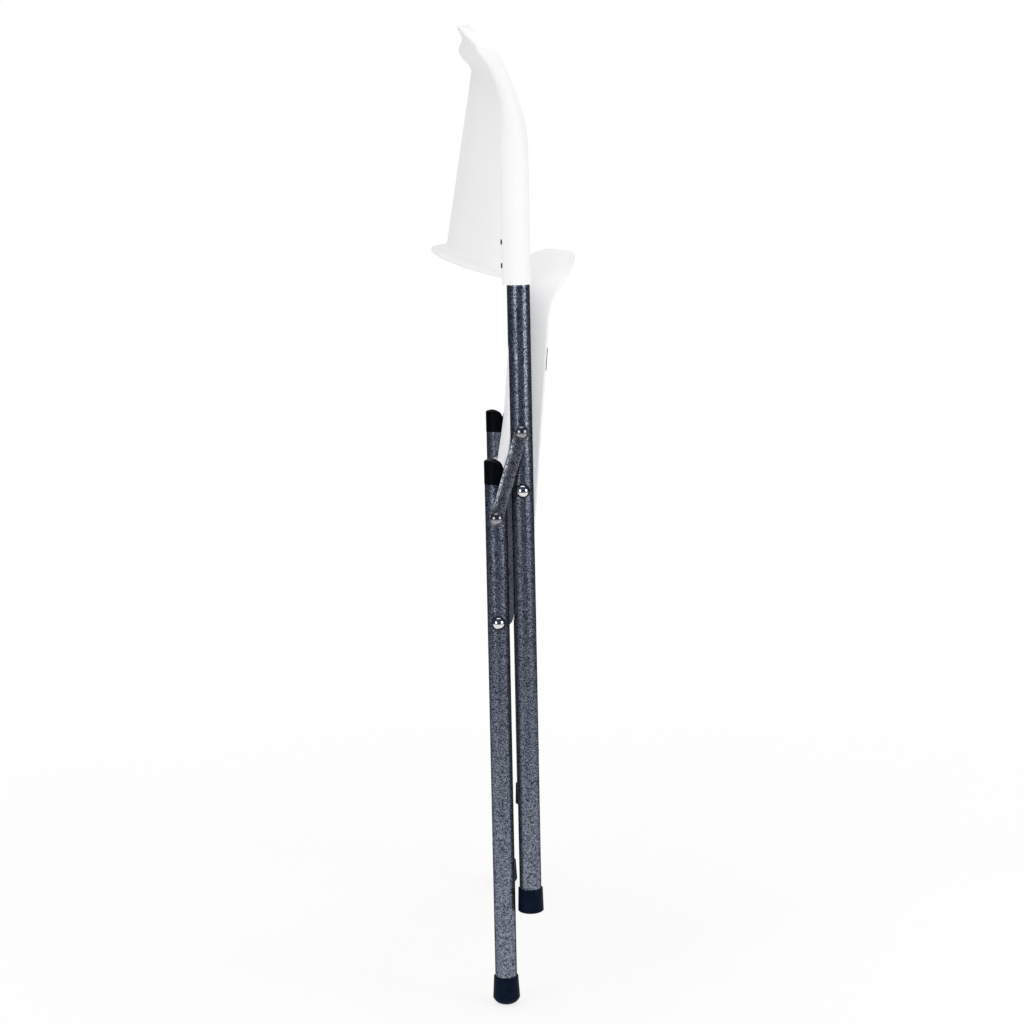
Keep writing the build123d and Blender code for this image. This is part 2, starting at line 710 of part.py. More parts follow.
cap_bottom = REAR_LEG_TOP_Z - CAP_HEIGHT
rear_tube_top = REAR_LEG_TOP_Z - CAP_ROOF
rest_r = tube_r + REST_CLEARANCE
axis_x, axis_z = seen_from_rear_leg((front_x, rear_pivot_open[1]))
for word, side in SIDES.items():
    with BuildPart() as rear_leg:
        add(tube(rear_x, side, REAR_FOOT_FLOOR, rear_tube_top, (link_end, rear_pivot)))
        split(bisect_by=rest_plane(rest_r + CAP_ROOF), keep=Keep.BOTTOM)
    write(rear_leg.part, f"{word}_rear_leg")
    rear_foot = foot(
        rear_x,
        side,
        0,
        REAR_FOOT_HEIGHT,
        REAR_FOOT_FLOOR,
        REAR_FOOT_DOME,
        REAR_FOOT_FLAT,
        REAR_FOOT_FLARE,
    )
    write(rear_foot, f"{word}_rear_foot")
    with BuildPart() as cap_space:
        with BuildSketch(Plane.XY.offset(cap_bottom)):
            with Locations((rear_x, side * half_track)):
                Circle(tube_r + CAP_CLEARANCE)
        extrude(amount=rear_tube_top + CAP_CLEARANCE - cap_bottom)
        split(bisect_by=rest_plane(rest_r + CAP_ROOF - CAP_CLEARANCE), keep=Keep.BOTTOM)
    with BuildPart() as cap:
        with BuildSketch(Plane.XY.offset(cap_bottom)):
            with Locations((rear_x, side * half_track)):
                Circle(tube_r + CAP_WALL)
        extrude(amount=CAP_HEIGHT)
        split(bisect_by=rest_plane(rest_r - REST_GROOVE), keep=Keep.BOTTOM)
        front_leg_axis = Plane(
            origin=(axis_x, side * half_track, axis_z),
            x_dir=(0, 1, 0),
            z_dir=(-sin(rear_turn), 0, cos(rear_turn)),
        )
        with BuildSketch(front_leg_axis):
            Circle(rest_r)
        extrude(amount=REAR_LEG_TOP_Z, both=True, mode=Mode.SUBTRACT)
        add(cap_space.part, mode=Mode.SUBTRACT)
    write(cap.part, f"{word}_rear_cap")
write(brace(rear_x, REAR_BRACE_Z), "rear_cross_brace")

# Rivets and washers that stay with the rear legs
write(
    rivets(rear_pivot, outer_skin + HEAD_WASHER_T, tail_outer, TAIL_HEIGHT),
    "rear_pivot_rivets",
)
write(
    washers(rear_pivot, HEAD_WASHER_R, rear_x, half_track, outer_skin + HEAD_WASHER_T),
    "rear_pivot_washers",
)
write(
    washers(rear_pivot, SPACER_R, rear_x, inner_skin - SPACER_T, half_track),
    "rear_pivot_spacers",
)
write(
    washers(link_end, LINK_WASHER_R, rear_x, half_track, outer_skin + LINK_WASHER_T),
    "link_end_washers",
)

with BuildPart() as link_rivet_tails:
    for side in SIDES.values():
        with BuildSketch(side_plane(max(side * inner_skin, side * (outer_skin + LINK_WASHER_T)))):
            with Locations(link_end):
                Circle(SHANK_R)
        extrude(amount=TUBE_OD + LINK_WASHER_T)
        with BuildSketch(side_plane(max(side * inner_skin, side * (inner_skin - FLUSH_TAIL_HEIGHT)))):
            with Locations(link_end):
                Circle(TAIL_R)
        extrude(amount=FLUSH_TAIL_HEIGHT)
write(link_rivet_tails.part, "link_rivet_tails")

# Links: flat straps outside the tubes, with the head of their rear rivet
for word, side in SIDES.items():
    with BuildPart() as link:
        with BuildSketch(side_plane(max(side * link_inner, side * link_outer))) as strap:
            with Locations(link_pivot, link_end):
                Circle(LINK_WIDTH / 2)
            make_hull(strap.edges())
            with Locations(link_pivot, link_end):
                Circle(SHANK_R + PIVOT_CLEARANCE, mode=Mode.SUBTRACT)
        extrude(amount=LINK_THICKNESS)
    write(link.part, f"{word}_link")
    with BuildPart() as link_rivet:
        with BuildSketch(rivet_plane(link_end, side)):
            with BuildLine():
                rivet_head(link_outer, link_inner)
            make_face()
        revolve(axis=rivet_axis(link_end))
    write(link_rivet.part, f"{word}_link_rivet")

print("rear legs turn", degrees(rear_turn), "links turn", degrees(link_turn))
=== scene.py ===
import json
from math import atan2, cos, pi, radians, sin, sqrt, tan

import bmesh
import bpy
import numpy as np
from mathutils import Matrix, Vector


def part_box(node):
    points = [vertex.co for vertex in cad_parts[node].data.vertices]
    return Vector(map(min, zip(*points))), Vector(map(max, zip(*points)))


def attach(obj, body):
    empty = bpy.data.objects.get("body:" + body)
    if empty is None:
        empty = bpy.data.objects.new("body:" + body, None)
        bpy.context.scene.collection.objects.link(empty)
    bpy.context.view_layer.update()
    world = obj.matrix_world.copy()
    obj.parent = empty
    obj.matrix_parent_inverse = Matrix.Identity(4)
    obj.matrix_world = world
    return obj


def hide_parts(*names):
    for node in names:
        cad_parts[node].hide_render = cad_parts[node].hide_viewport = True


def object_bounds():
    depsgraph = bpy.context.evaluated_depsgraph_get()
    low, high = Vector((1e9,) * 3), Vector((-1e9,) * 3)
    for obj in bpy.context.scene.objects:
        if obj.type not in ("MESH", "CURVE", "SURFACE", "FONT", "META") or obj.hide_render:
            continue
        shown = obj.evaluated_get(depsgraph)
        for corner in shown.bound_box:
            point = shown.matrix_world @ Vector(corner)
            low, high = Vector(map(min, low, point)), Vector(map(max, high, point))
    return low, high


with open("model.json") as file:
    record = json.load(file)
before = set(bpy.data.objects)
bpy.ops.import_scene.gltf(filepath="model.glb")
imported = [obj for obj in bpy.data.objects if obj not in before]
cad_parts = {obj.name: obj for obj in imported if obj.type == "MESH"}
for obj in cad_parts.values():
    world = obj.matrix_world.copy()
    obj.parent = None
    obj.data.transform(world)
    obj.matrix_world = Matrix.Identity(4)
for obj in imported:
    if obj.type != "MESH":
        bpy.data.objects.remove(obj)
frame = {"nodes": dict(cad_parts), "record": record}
cad_low, cad_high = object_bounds()

# Metres throughout. +X is the chair's front, -Y its right side, which faces the camera.

# Camera, fitted to the photo: place, angles in degrees, focal length in pixels
CAMERA_PLACE = Vector((-0.0023, -2.9477, 0.9189))
CAMERA_DOWN = 8.617
CAMERA_TURN = -0.097
CAMERA_ROLL = -1.181
FOCAL_PX = 2790.8
PHOTO_PX = 1024
SENSOR_MM = 36.0
VIEW_END = 200.0

# Softboxes: place, width, height and watts of each
SOFTBOXES = {
    "left_softbox": ((-1.51, -1.87, 0.85), 0.95, 1.1, 11.3),
    "right_softbox": ((1.99, -1.34, 0.85), 0.95, 1.1, 13.2),
    "top_softbox": ((0.0, 0.2, 3.2), 2.4, 2.4, 26.0),
}

# Room round the chair
ROOM_LIGHT = 0.785  # light from all round, beside the softboxes
ROOM_SEEN = (0.027, 0.048, 0.08)  # colour of the room in mirrors
BACKDROP_FADE = (0.85, 0.97)  # how squarely behind the chair the mirrored backdrop starts and is full

# Floor, with distances from the middle of it
FLOOR_SIZE = 60.0
FLOOR_DARK = (0.86, 0.86, 0.86)
FLOOR_PALE = (0.88, 0.88, 0.88)
FLOOR_CLOUDS = 3.0  # scale of its faint clouds
MIRROR_FADE = (0.9, 1.9)  # where the floor turns from white to dim in mirrors
SHADOW_WHITE = 0.75  # share of plain white where the shadow shows most
SHADOW_FADE = (0.4, 1.4)  # where the shadow fades

# Finishes: scales in cells to the metre, depths of bumps in metres
FLECK_SCALE = 900.0
DIMPLE_SCALE = 630.0
CLOUD_SCALE = 1350.0
FLECK_SHARE = 0.6  # share of flecks and of clouds in the pattern of the flake
CLOUD_SHARE = 0.5
DIMPLE_DEPTH = 0.0003
DIMPLE_STRENGTH = 0.42
FLAKE_DEPTH = 0.0002
WHITE_GRAIN_SCALE = 2200.0
WHITE_GRAIN_DEPTH = 0.00008
FLOW_SCALE = 9.0
SWIRL_SCALE = 700.0
SWIRL_DEPTH = 0.00004
SWIRL_DULL = 0.85  # dull swirls, as a share of the plating's colour
MARK_SCALE = 120.0
MARK_GAIN = 1.8  # handling marks: the colour times this, and a little more
MARK_LIFT = 0.001
MOULD_GRAIN_DEPTH = 0.0001

# Shading and edges of meshes
SMOOTH_ANGLE = radians(32)  # edges sharper than this stay sharp
FLAT_ANGLE = radians(1)
SAME_POINT = 1e-6
BROKEN_EDGE = 0.0005  # bevel on the seat brackets
BROKEN_NODES = ("right_seat_bracket", "left_seat_bracket")
EDGE_SHARE = 0.3  # point part way round a small rounded edge

# Sides of the chair, with their signs along Y
SIDES = {"right": -1, "left": 1}

# Backrest
PANEL_RISE = 0.0045  # ends of the panel's lower edge, above the sleeve mouths
PANEL_WALL = 0.0045
PANEL_EDGE = 0.010  # panel's wall along its side edges
BOTTOM_ARCH = 0.017  # middle of the lower edge, above its ends
ARCH_CURVE = 1.4
SCOOP = 0.07515  # middle of the panel behind the legs, level with its lower ends
SCOOP_LEAN = radians(9.5)  # middle line of the panel, forward of the legs
SLEEVE_R = 0.0138
SLEEVE_SET = 0.0018  # sleeves behind the middle of the legs in them
SLEEVE_STRAIGHT = 0.144  # from the mouth to where the side edges start to sweep back
EDGE_SWEEP = 0.0466  # top ends of the side edges, behind the legs
TAPER_START = 0.129  # where the sleeve starts to shrink into the rim, above the mouth
TAPER_END = 0.201
RIM_R = 0.0075  # rolled rim above the sleeve
RIM_TIP_R = 0.0030  # and at the top of the panel
TIP_ROUND = 0.0018  # rounding of the very top
RIM_TIP_RUN = 0.032  # height over which the rim thins to its tip
LIP_DROP = 0.044  # start of the rolled lip, below the top edge
LIP_FLARE = 0.0215  # height over which the lip grows backward
LIP_REACH = 0.013
LIP_HOLLOW = 0.004  # hollow of the lip's rear face, above its bead
ROLL_SWEEP = 0.0178  # how far the rolled top takes the front back
TOP_CORNER = 0.050
FLANGE_REACH = 0.0170  # lower flange behind the panel, in the middle
FLANGE_T = 0.007
FLANGE_TAPER = 0.75  # what is left of its thickness at its rear edge
FLANGE_FILLET = 0.004
EDGE_ROUND = 0.0022  # moulded edges
SLEEVE_FILLET = 0.007  # between a sleeve and the panel
COLLAR_HEIGHT = 0.014  # plain ring at a sleeve's mouth
COLLAR_PROUD = 0.0001
BORE_CLEARANCE = 0.0001
BORE_DEPTH = 0.1261
FINE_START = 0.78  # share of the height where a section's points get closer
LOWER_STEPS = 28
UPPER_STEPS = 20
ROUND_STEPS = 5
TAPER_STEPS = 60
PANEL_STATIONS = 30  # sections across half of the panel, the fillet and the sleeve
JOINT_STATIONS = 18
SLEEVE_STATIONS = 14
COLLAR_SIDES = 128

# Seat, measured from its pivot along the seat and square to it
SEAT_LEAN = radians(5)  # folded seat, forward of the front legs
SEAT_FRONT = 0.2257
FRONT_BOW = 0.017  # middle of the front edge ahead of its ends
SEAT_REAR = 0.140
SEAT_TOP = 0.024
SEAT_WALL = 0.0035
SKIRT_DROP = 0.0152  # lower edge of the side skirts, below the pivot
APRON_DROP = 0.0415  # lower edge of the front apron, below the pivot
APRON_START = 0.168  # where the skirt starts to deepen
APRON_CURVE = 2.1
APRON_DRAFT = 0.0015
NOSE_R = 0.040
SIDE_R = 0.009
REAR_R = 0.016
FRONT_CORNER = 0.055
REAR_CORNER = 0.035
DISH_PLACE = 0.020
DISH_R = 0.185
DISH_DEPTH = 0.005
FRONT_FALL = 0.0043  # front of the top, below its rear
FALL_START = -0.045  # where the top starts to fall, and where the fall is complete
FALL_END = 0.035
TOP_START = 0.04  # innermost ring of the top, as a share of the way to its edge
TOP_RINGS = 12
BOW_STEPS = 24  # points along half of the outline: bow, corner, side, corner, rear
CORNER_STEPS = 22
SIDE_STEPS = 30
REAR_STEPS = 16
NOSE_STEPS = 9  # points over the top edge, round the lower edge and up inside
SKIRT_SHARES = (0.35, 0.7, 1.0)
RIM_STEPS = 7
INSIDE_SHARES = (0.6, 0.3)
LEAST_INSIDE_R = 0.002
RIB_T = 0.0025
RIB_DEPTH = 0.014
RIB_FOOT = 0.6  # width of a rib's bevelled lower edge, as a share of the rib
RIB_STEPS = 90
RIB_ACROSS = [-0.150, -0.075, 0.0, 0.075, 0.150]
RIB_ALONG = [-0.085, -0.015, 0.055, 0.125]
BOSS_R = 0.0055
BOSS_LENGTH = 0.012
BOSS_SIDES = 32
BOSS_SPACING = 0.015  # heights closer than this belong to one bracket screw
HEAD_SLICE = 0.0001  # slice of a bracket screw's head that gives its place
TAIL_HOLE_R = 0.007  # round the seat pivot's rivet tail
BUMPER_PLACE = 0.129  # middle of a bumper strip, forward of the pivot
BUMPER_LENGTH = 0.022
BUMPER_T = 0.0005
BUMPER_SINK = 0.0002  # strip's inner face, inside the skirt's wall
BUMPER_START = 245  # where the strip starts round the skirt's edge, in degrees
BUMPER_RISE = 0.0045  # and where it ends inside the skirt
BUMPER_STEPS = 9

# Rear caps
CAP_PROUD = 0.0003  # cap's wall outside the tube
CAP_PEAK = -0.45  # highest place of the cap's top, from -1 at its rear to 1 at its front
CAP_FALL = 0.0090  # front of the top, below the peak
CAP_CURVE = 1.8
CAP_REAR_FALL = 0.0008
CAP_EDGE = 0.0012
CAP_SIDES = 96
CAP_SHARES = (0.7, 0.45, 0.2)
SLANT_LOW = 0.3  # upward part of the normal of the CAD cap's slanted face, at least and at most
SLANT_HIGH = 0.95
SLANT_LEVEL = 0.01  # sideways part of it, at most
REST_DEPTH = 0.0015  # depth of the CAD cap's groove for the open front leg
REST_CLEARANCE = 0.0003

# Back screws
SCREW_R = 0.0027
SCREW_DOME = 0.0013
SCREW_SLOT = 0.0007
SCREW_SLOT_DEPTH = 0.0008
SCREW_SLOT_REACH = 0.7  # half length of a slot, as a share of the head's radius
SCREW_SIDES = 32
SCREW_RINGS = [(1.0, 0.3), (0.93, 0.6), (0.75, 0.85), (0.4, 1.0)]  # shares of the head's radius and dome

# Link straps
STRAP_CROWN = 0.0016  # middle of a strap's outer face, proud of its long edges
STRAP_FLAT = 0.003  # where the crown starts, from the rivets, and where it is full
STRAP_CROWNED = 0.011
STRAP_EDGE = 0.0005
STRAP_BORE_R = 0.00325
STRAP_STEPS = 25
STRAP_SHARES = (0.85, 0.75, 0.65, 0.55, 0.45, 0.35, 0.25, 0.15, 0.05)

# Welds
BEAD_R = 0.0021
BEAD_RIPPLE = 0.00025
BEAD_RIPPLES = 26
BEAD_LEAN = 0.55  # how much fuller a bead is on one side of its brace
BEAD_STEPS = 104
BEAD_SIDES = 10


# Node helpers
def new_material(name):
    """An empty node material, and the tree to build it in."""
    material = bpy.data.materials.new(name)
    material.use_nodes = True
    tree = material.node_tree
    tree.nodes.clear()
    return material, tree


def feed(tree, socket, value):
    """Sets a socket to a value, or links another node's socket to it."""
    if isinstance(value, bpy.types.NodeSocket):
        tree.links.new(value, socket)
    else:
        socket.default_value = value


def node(tree, kind, **inputs):
    """A node with some of its sockets fed, by their names."""
    made = tree.nodes.new(kind)
    for name, value in inputs.items():
        feed(tree, made.inputs[name.replace("_", " ")], value)
    return made


def ramp(tree, factor, low, high, low_at=0.0, high_at=1.0):
    """Colour between two colours as a factor goes between two places."""
    made = node(tree, "ShaderNodeValToRGB", Fac=factor)
    first, last = made.color_ramp.elements
    first.position, first.color = low_at, (*low, 1)
    last.position, last.color = high_at, (*high, 1)
    return made.outputs["Color"]


def spread(tree, factor, low, high, from_low=0.0, from_high=1.0):
    """A value between two values as a factor goes between two places."""
    ends = {"From_Min": from_low, "From_Max": from_high, "To_Min": low, "To_Max": high}
    return node(tree, "ShaderNodeMapRange", Value=factor, **ends).outputs["Result"]


def combine(tree, operation, first, second):
    """Result of arithmetic on two sockets or numbers."""
    made = tree.nodes.new("ShaderNodeMath")
    made.operation = operation
    for socket, value in zip(made.inputs, (first, second)):
        feed(tree, socket, value)
    return made.outputs["Value"]


def place(tree):
    """Coordinates in the piece's own frame."""
    return node(tree, "ShaderNodeTexCoord").outputs["Object"]


def noise(tree, scale, detail=2.0, roughness=0.5):
    """Cloudy noise."""
    look = {"Scale": scale, "Detail": detail, "Roughness": roughness}
    return node(tree, "ShaderNodeTexNoise", Vector=place(tree), **look).outputs["Fac"]


def cells(tree, scale):
    """Distance from the middles of rounded cells."""
    made = node(tree, "ShaderNodeTexVoronoi", Vector=place(tree), Scale=scale)
    made.feature = "SMOOTH_F1"
    made.inputs["Smoothness"].default_value = 0.5
    return made.outputs["Distance"]


def bump(tree, height, depth, strength=0.5, under=None):
    """Normals bumped by a height, on top of other bumped normals if there are any."""
    made = node(tree, "ShaderNodeBump", Height=height, Distance=depth, Strength=strength)
    if under is not None:
        tree.links.new(under, made.inputs["Normal"])
    return made.outputs["Normal"]


def surface(tree, **inputs):
    """Principled shader joined to the material's output."""
    shader = node(tree, "ShaderNodeBsdfPrincipled", **inputs)
    output = tree.nodes.new("ShaderNodeOutputMaterial")
    tree.links.new(shader.outputs["BSDF"], output.inputs["Surface"])


# Finishes
def hammertone(name, dark, pale, metal):
    """Charcoal hammered enamel: fine pale flake over dark blue-grey enamel, with a shallow dimpling."""
    material, tree = new_material(name)
    fleck = node(tree, "ShaderNodeTexVoronoi", Vector=place(tree), Scale=FLECK_SCALE)
    shade = node(tree, "ShaderNodeSeparateColor", Color=fleck.outputs["Color"]).outputs["Red"]
    dimple = cells(tree, DIMPLE_SCALE)
    cloud = noise(tree, CLOUD_SCALE, roughness=0.6)
    flecks = combine(tree, "MULTIPLY", shade, FLECK_SHARE)
    clouds = combine(tree, "MULTIPLY", cloud, CLOUD_SHARE)
    flake = combine(tree, "ADD", flecks, clouds)
    colour = ramp(tree, flake, dark, pale, 0.25, 0.9)
    rough = spread(tree, cloud, 0.2, 0.32, 0.3, 0.7)
    normal = bump(tree, dimple, DIMPLE_DEPTH, DIMPLE_STRENGTH)
    normal = bump(tree, flake, FLAKE_DEPTH, under=normal)
    surface(
        tree,
        Base_Color=colour,
        Metallic=metal,
        Roughness=rough,
        Specular_IOR_Level=0.1,
        Specular_Tint=(0.12, 0.12, 0.12, 1.0),
        Normal=normal,
    )
    return material


def white_shell():
    """White moulded plastic: fine grain, and slight flow marks in its colour and gloss."""
    material, tree = new_material("white_moulded_plastic")
    grain = noise(tree, WHITE_GRAIN_SCALE)
    flow = noise(tree, FLOW_SCALE, 3.0)
    colour = ramp(tree, flow, (0.835, 0.835, 0.845), (0.865, 0.865, 0.87), 0.3, 0.7)
    rough = spread(tree, flow, 0.40, 0.52)
    normal = bump(tree, grain, WHITE_GRAIN_DEPTH)
    surface(tree, Base_Color=colour, Roughness=rough, Specular_IOR_Level=0.12, Normal=normal)
    return material


def plated(name, colour, low, high):
    """Plated steel with faint swirls of polishing."""
    material, tree = new_material(name)
    swirl = noise(tree, SWIRL_SCALE, 3.0, 0.6)
    dull = tuple(SWIRL_DULL * part for part in colour)
    surface(
        tree,
        Base_Color=ramp(tree, swirl, dull, colour, 0.3, 0.7),
        Metallic=1.0,
        Roughness=spread(tree, swirl, low, high, 0.3, 0.7),
        Normal=bump(tree, swirl, SWIRL_DEPTH, 0.4),
    )
    return material


def black_moulding(name, colour, low, high, grain_scale):
    """Black rubber or plastic with a moulded grain and paler handling marks."""
    material, tree = new_material(name)
    marks = noise(tree, MARK_SCALE, 4.0, 0.6)
    grain = noise(tree, grain_scale)
    pale = tuple(MARK_GAIN * part + MARK_LIFT for part in colour)
    surface(
        tree,
        Base_Color=ramp(tree, marks, colour, pale, 0.45, 0.8),
        Roughness=spread(tree, marks, low, high, 0.3, 0.7),
        Specular_IOR_Level=0.05,
        Normal=bump(tree, grain, MOULD_GRAIN_DEPTH),
    )
    return material


# Finish of each material slot
finishes = {
    "frame_paint": hammertone("hammertone_enamel", (0.012, 0.026, 0.052), (0.337, 0.367, 0.427), 0.9),
    "shell": white_shell(),
    "rivet": plated("nickel_plate", (0.82, 0.82, 0.83), 0.10, 0.22),
    "washer": plated("dark_plate", (0.06, 0.065, 0.075), 0.3, 0.45),
    "screw": plated("zinc_plate", (0.34, 0.345, 0.36), 0.3, 0.45),
    "black_screw": black_moulding("black_oxide", (0.012, 0.012, 0.014), 0.35, 0.5, 1500.0),
    "spacer_nylon": black_moulding("black_nylon", (0.02, 0.02, 0.022), 0.35, 0.5, 1500.0),
    "foot_rubber": black_moulding("black_rubber", (0.0012, 0.005, 0.014), 0.42, 0.58, 1200.0),
    "cap_plastic": black_moulding("black_cap_plastic", (0.0006, 0.0015, 0.003), 0.4, 0.55, 1800.0),
    "bumper": black_moulding("bumper_rubber", (0.01, 0.011, 0.014), 0.45, 0.6, 1200.0),
}

# Straps and seat brackets have their own enamels: the brackets' is paler as painted light, and the straps'
# flake is a little paler as painted reflection. The rivets of the links have a darker nickel plating than the
# other rivets
# Strap enamel: the same kind of hammertone, with its flake a little paler than the tubes' as painted
# reflection of the straps' flat faces
strap_paint_and_painted_reflection = hammertone("strap_enamel_and_painted_reflection", (0.012, 0.018, 0.032), (0.37, 0.385, 0.43), 0.88)
# Bracket enamel: much paler than the tubes' enamel as painted light, standing in for light on the brackets in
# the shade between the tubes
bracket_painted_light = hammertone("bracket_enamel_painted_light", (0.29, 0.31, 0.35), (0.66, 0.70, 0.78), 0.2)
# A darker copy of the nickel plating, for the rivets of the links
darker_nickel = plated("darker_nickel_plate", (0.36, 0.35, 0.37), 0.16, 0.3)
own_finishes = {"link_pivot_rivets": darker_nickel}
for word in SIDES:
    own_finishes[f"{word}_link"] = strap_paint_and_painted_reflection
    own_finishes[f"{word}_seat_bracket"] = bracket_painted_light
    own_finishes[f"{word}_link_rivet"] = darker_nickel


# CAD nodes: each takes its finish, and the seat brackets have their edges broken
def break_edges(shown):
    """Rounds the sharp edges of a node as it is drawn, after joining the flat faces of its mesh."""
    flat = shown.modifiers.new("flat_faces", "DECIMATE")
    flat.decimate_type = "DISSOLVE"
    flat.angle_limit = FLAT_ANGLE
    edge = shown.modifiers.new("broken_edges", "BEVEL")
    edge.width = BROKEN_EDGE
    edge.segments = 3
    edge.limit_method = "ANGLE"
    edge.angle_limit = SMOOTH_ANGLE
    edge.harden_normals = True


def shade_smooth(mesh):
    """Smooth shading, apart from sharp edges."""
    mesh.polygons.foreach_set("use_smooth", [True] * len(mesh.polygons))
    mesh.set_sharp_from_angle(angle=SMOOTH_ANGLE)


for piece in frame["record"]["subparts"]:
    shown = frame["nodes"][piece["node"]]
    shown.data.materials.clear()
    finish = finishes[piece["material_slot"]]
    shown.data.materials.append(own_finishes.get(piece["node"], finish))
    shade_smooth(shown.data)
    if piece["node"] in BROKEN_NODES:
        break_edges(shown)


# Mesh helpers
def mesh_object(name, points, faces):
    """A mesh object from points and faces, with doubled points joined and normals outward."""
    mesh = bpy.data.meshes.new(name)
    mesh.from_pydata([tuple(point) for point in points], [], faces)
    shaped = bmesh.new()
    shaped.from_mesh(mesh)
    bmesh.ops.remove_doubles(shaped, verts=shaped.verts, dist=SAME_POINT)
    bmesh.ops.dissolve_degenerate(shaped, edges=shaped.edges, dist=SAME_POINT)
    bmesh.ops.recalc_face_normals(shaped, faces=shaped.faces)
    shaped.to_mesh(mesh)
    shaped.free()
    made = bpy.data.objects.new(name, mesh)
    bpy.context.scene.collection.objects.link(made)
    return made


def loop_faces(loops, count, closed_loops=False):
    """Quads between neighbouring closed loops that have the same number of points each."""
    faces = []
    steps = loops if closed_loops else loops - 1
    for loop in range(steps):
        this = loop * count
        following = (loop + 1) % loops * count
        for point in range(count):
            after = (point + 1) % count
            faces.append((this + point, this + after, following + after, following + point))
    return faces


def capped_faces(loops, count):
    """Quads between closed loops, with a face over the first loop and the last."""
    first = tuple(range(count))
    last = tuple(range((loops - 1) * count, loops * count))
    return loop_faces(loops, count) + [first, last]


def rod(name, start, end, radius, sides=64):
    """A closed round bar between two points, to cut with or to join on."""
    axis = (end - start).normalized()
    side = axis.orthogonal().normalized()
    other = axis.cross(side)
    points = []
    for centre in (start, end):
        for step in range(sides):
            angle = 2 * pi * step / sides
            points.append(centre + radius * (side * cos(angle) + other * sin(angle)))
    return mesh_object(name, points, capped_faces(2, sides))


def carve(piece, tools):
    """Cuts each tool from a piece, or joins it on, and removes the tools."""
    for operation, tool in tools:
        change = piece.modifiers.new(operation, "BOOLEAN")
        change.operation = operation
        change.solver = "EXACT"
        change.object = tool
    bpy.context.view_layer.update()
    shaped = piece.evaluated_get(bpy.context.evaluated_depsgraph_get())
    mesh = bpy.data.meshes.new_from_object(shaped)
    piece.modifiers.clear()
    piece.data = mesh
    for _, tool in tools:
        bpy.data.objects.remove(tool)


def join(pieces):
    """Joins objects into the first of them."""
    with bpy.context.temp_override(active_object=pieces[0], selected_editable_objects=pieces):
        bpy.ops.object.join()
    return pieces[0]


def dress(piece, body, slot, *nodes):
    """Gives a finished piece its finish and its body, and hides the nodes that it stands for."""
    shade_smooth(piece.data)
    piece.data.materials.clear()
    own = [own_finishes[name] for name in nodes if name in own_finishes]
    piece.data.materials.append(own[0] if own else finishes[slot])
    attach(piece, body)
    if nodes:
        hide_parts(*nodes)


def smooth_step(value, low, high):
    """Share from 0 to 1 as a value goes between two values, easing in and out."""
    share = np.clip((value - low) / (high - low), 0.0, 1.0)
    return share * share * (3 - 2 * share)


def blend_max(first, second, width):
    """The larger of two values, rounded where they cross."""
    near = np.clip(width - np.abs(first - second), 0.0, None) / width
    return np.maximum(first, second) + near * near * width / 4


# Backrest: one moulding of panel, rolled rim, sleeves and lower flange, drawn as sections from right to left
leg_low, leg_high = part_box("right_front_leg")
front_x = (leg_low.x + leg_high.x) / 2
half_track = -(leg_low.y + leg_high.y) / 2
tube_r = (leg_high.x - leg_low.x) / 2
back_low, back_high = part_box("backrest")
mouth_z = back_low.z
back_top = back_high.z
panel_bottom = mouth_z + PANEL_RISE
corner_z = back_top - TOP_CORNER
corner_y = half_track - TOP_CORNER
sleeve_x = front_x - SLEEVE_SET


def bend(rise, full_rise, full_sweep):
    """Backward shift and slope of an arc that starts upright and ends at its full rise and sweep."""
    radius = (full_rise**2 + full_sweep**2) / (2 * full_sweep)
    rise = np.clip(rise, 0.0, full_rise)
    level = np.sqrt(radius**2 - rise**2)
    return radius - level, rise / level


def rim_radius(z):
    """Radius of a sleeve, and of the rim that it tapers into."""
    taper = smooth_step(z - mouth_z, TAPER_START, TAPER_END)
    tip = np.clip((z - back_top + RIM_TIP_RUN) / RIM_TIP_RUN, 0.0, 1.0) ** 2
    return SLEEVE_R + (RIM_R - SLEEVE_R) * taper + (RIM_TIP_R - RIM_R) * tip


def edge_line(z):
    """Depth and slope of the panel's side edges."""
    shift, slope = bend(z - mouth_z - SLEEVE_STRAIGHT, back_top - mouth_z - SLEEVE_STRAIGHT, EDGE_SWEEP)
    return sleeve_x - shift, np.sqrt(1 + slope**2)


def middle_line(z):
    """Depth of the panel's middle line, without its lip."""
    return front_x - SCOOP + tan(SCOOP_LEAN) * (z - panel_bottom)


taper_z = np.linspace(mouth_z + TAPER_START, corner_z, TAPER_STEPS)
corner_reach = half_track + float(rim_radius(np.array(corner_z)))


def top_of(y):
    """Height of the backrest's outline at a distance across."""
    away = abs(y)
    if away <= corner_y:
        return back_top
    if away <= corner_reach:
        return corner_z + TOP_CORNER * sqrt(1 - ((away - corner_y) / (corner_reach - corner_y)) ** 2)
    return float(np.interp(away - half_track, rim_radius(taper_z)[::-1], taper_z[::-1]))


def bottom_of(y):
    """Height of the arched lower edge at a distance across."""
    inward = 1 - min(abs(y) / half_track, 1.0) ** 2
    return panel_bottom + BOTTOM_ARCH * inward**ARCH_CURVE


def panel_faces(y, z, top):
    """Depth of the panel's front and back at a distance across, over some heights."""
    share = min(abs(y) / half_track, 1.0) ** 2
    edge, stretch = edge_line(z)
    edge_half = PANEL_EDGE / 2 * stretch
    roll = bend(z - back_top + LIP_DROP, LIP_DROP, ROLL_SWEEP)[0]
    front = middle_line(z) + PANEL_WALL / 2 - roll
    lip_start = top - LIP_DROP
    flare = smooth_step(z - lip_start, 0.0, LIP_FLARE)
    hollow = np.clip((z - lip_start - LIP_FLARE) / (LIP_DROP - LIP_FLARE), 0.0, 1.0)
    back = middle_line(np.minimum(z, lip_start)) - PANEL_WALL / 2 - LIP_REACH * flare
    back = back + LIP_HOLLOW * np.sin(pi * hollow) ** 2
    return (
        front + (edge + edge_half - front) * share,
        back + (edge - edge_half - back) * share,
    )


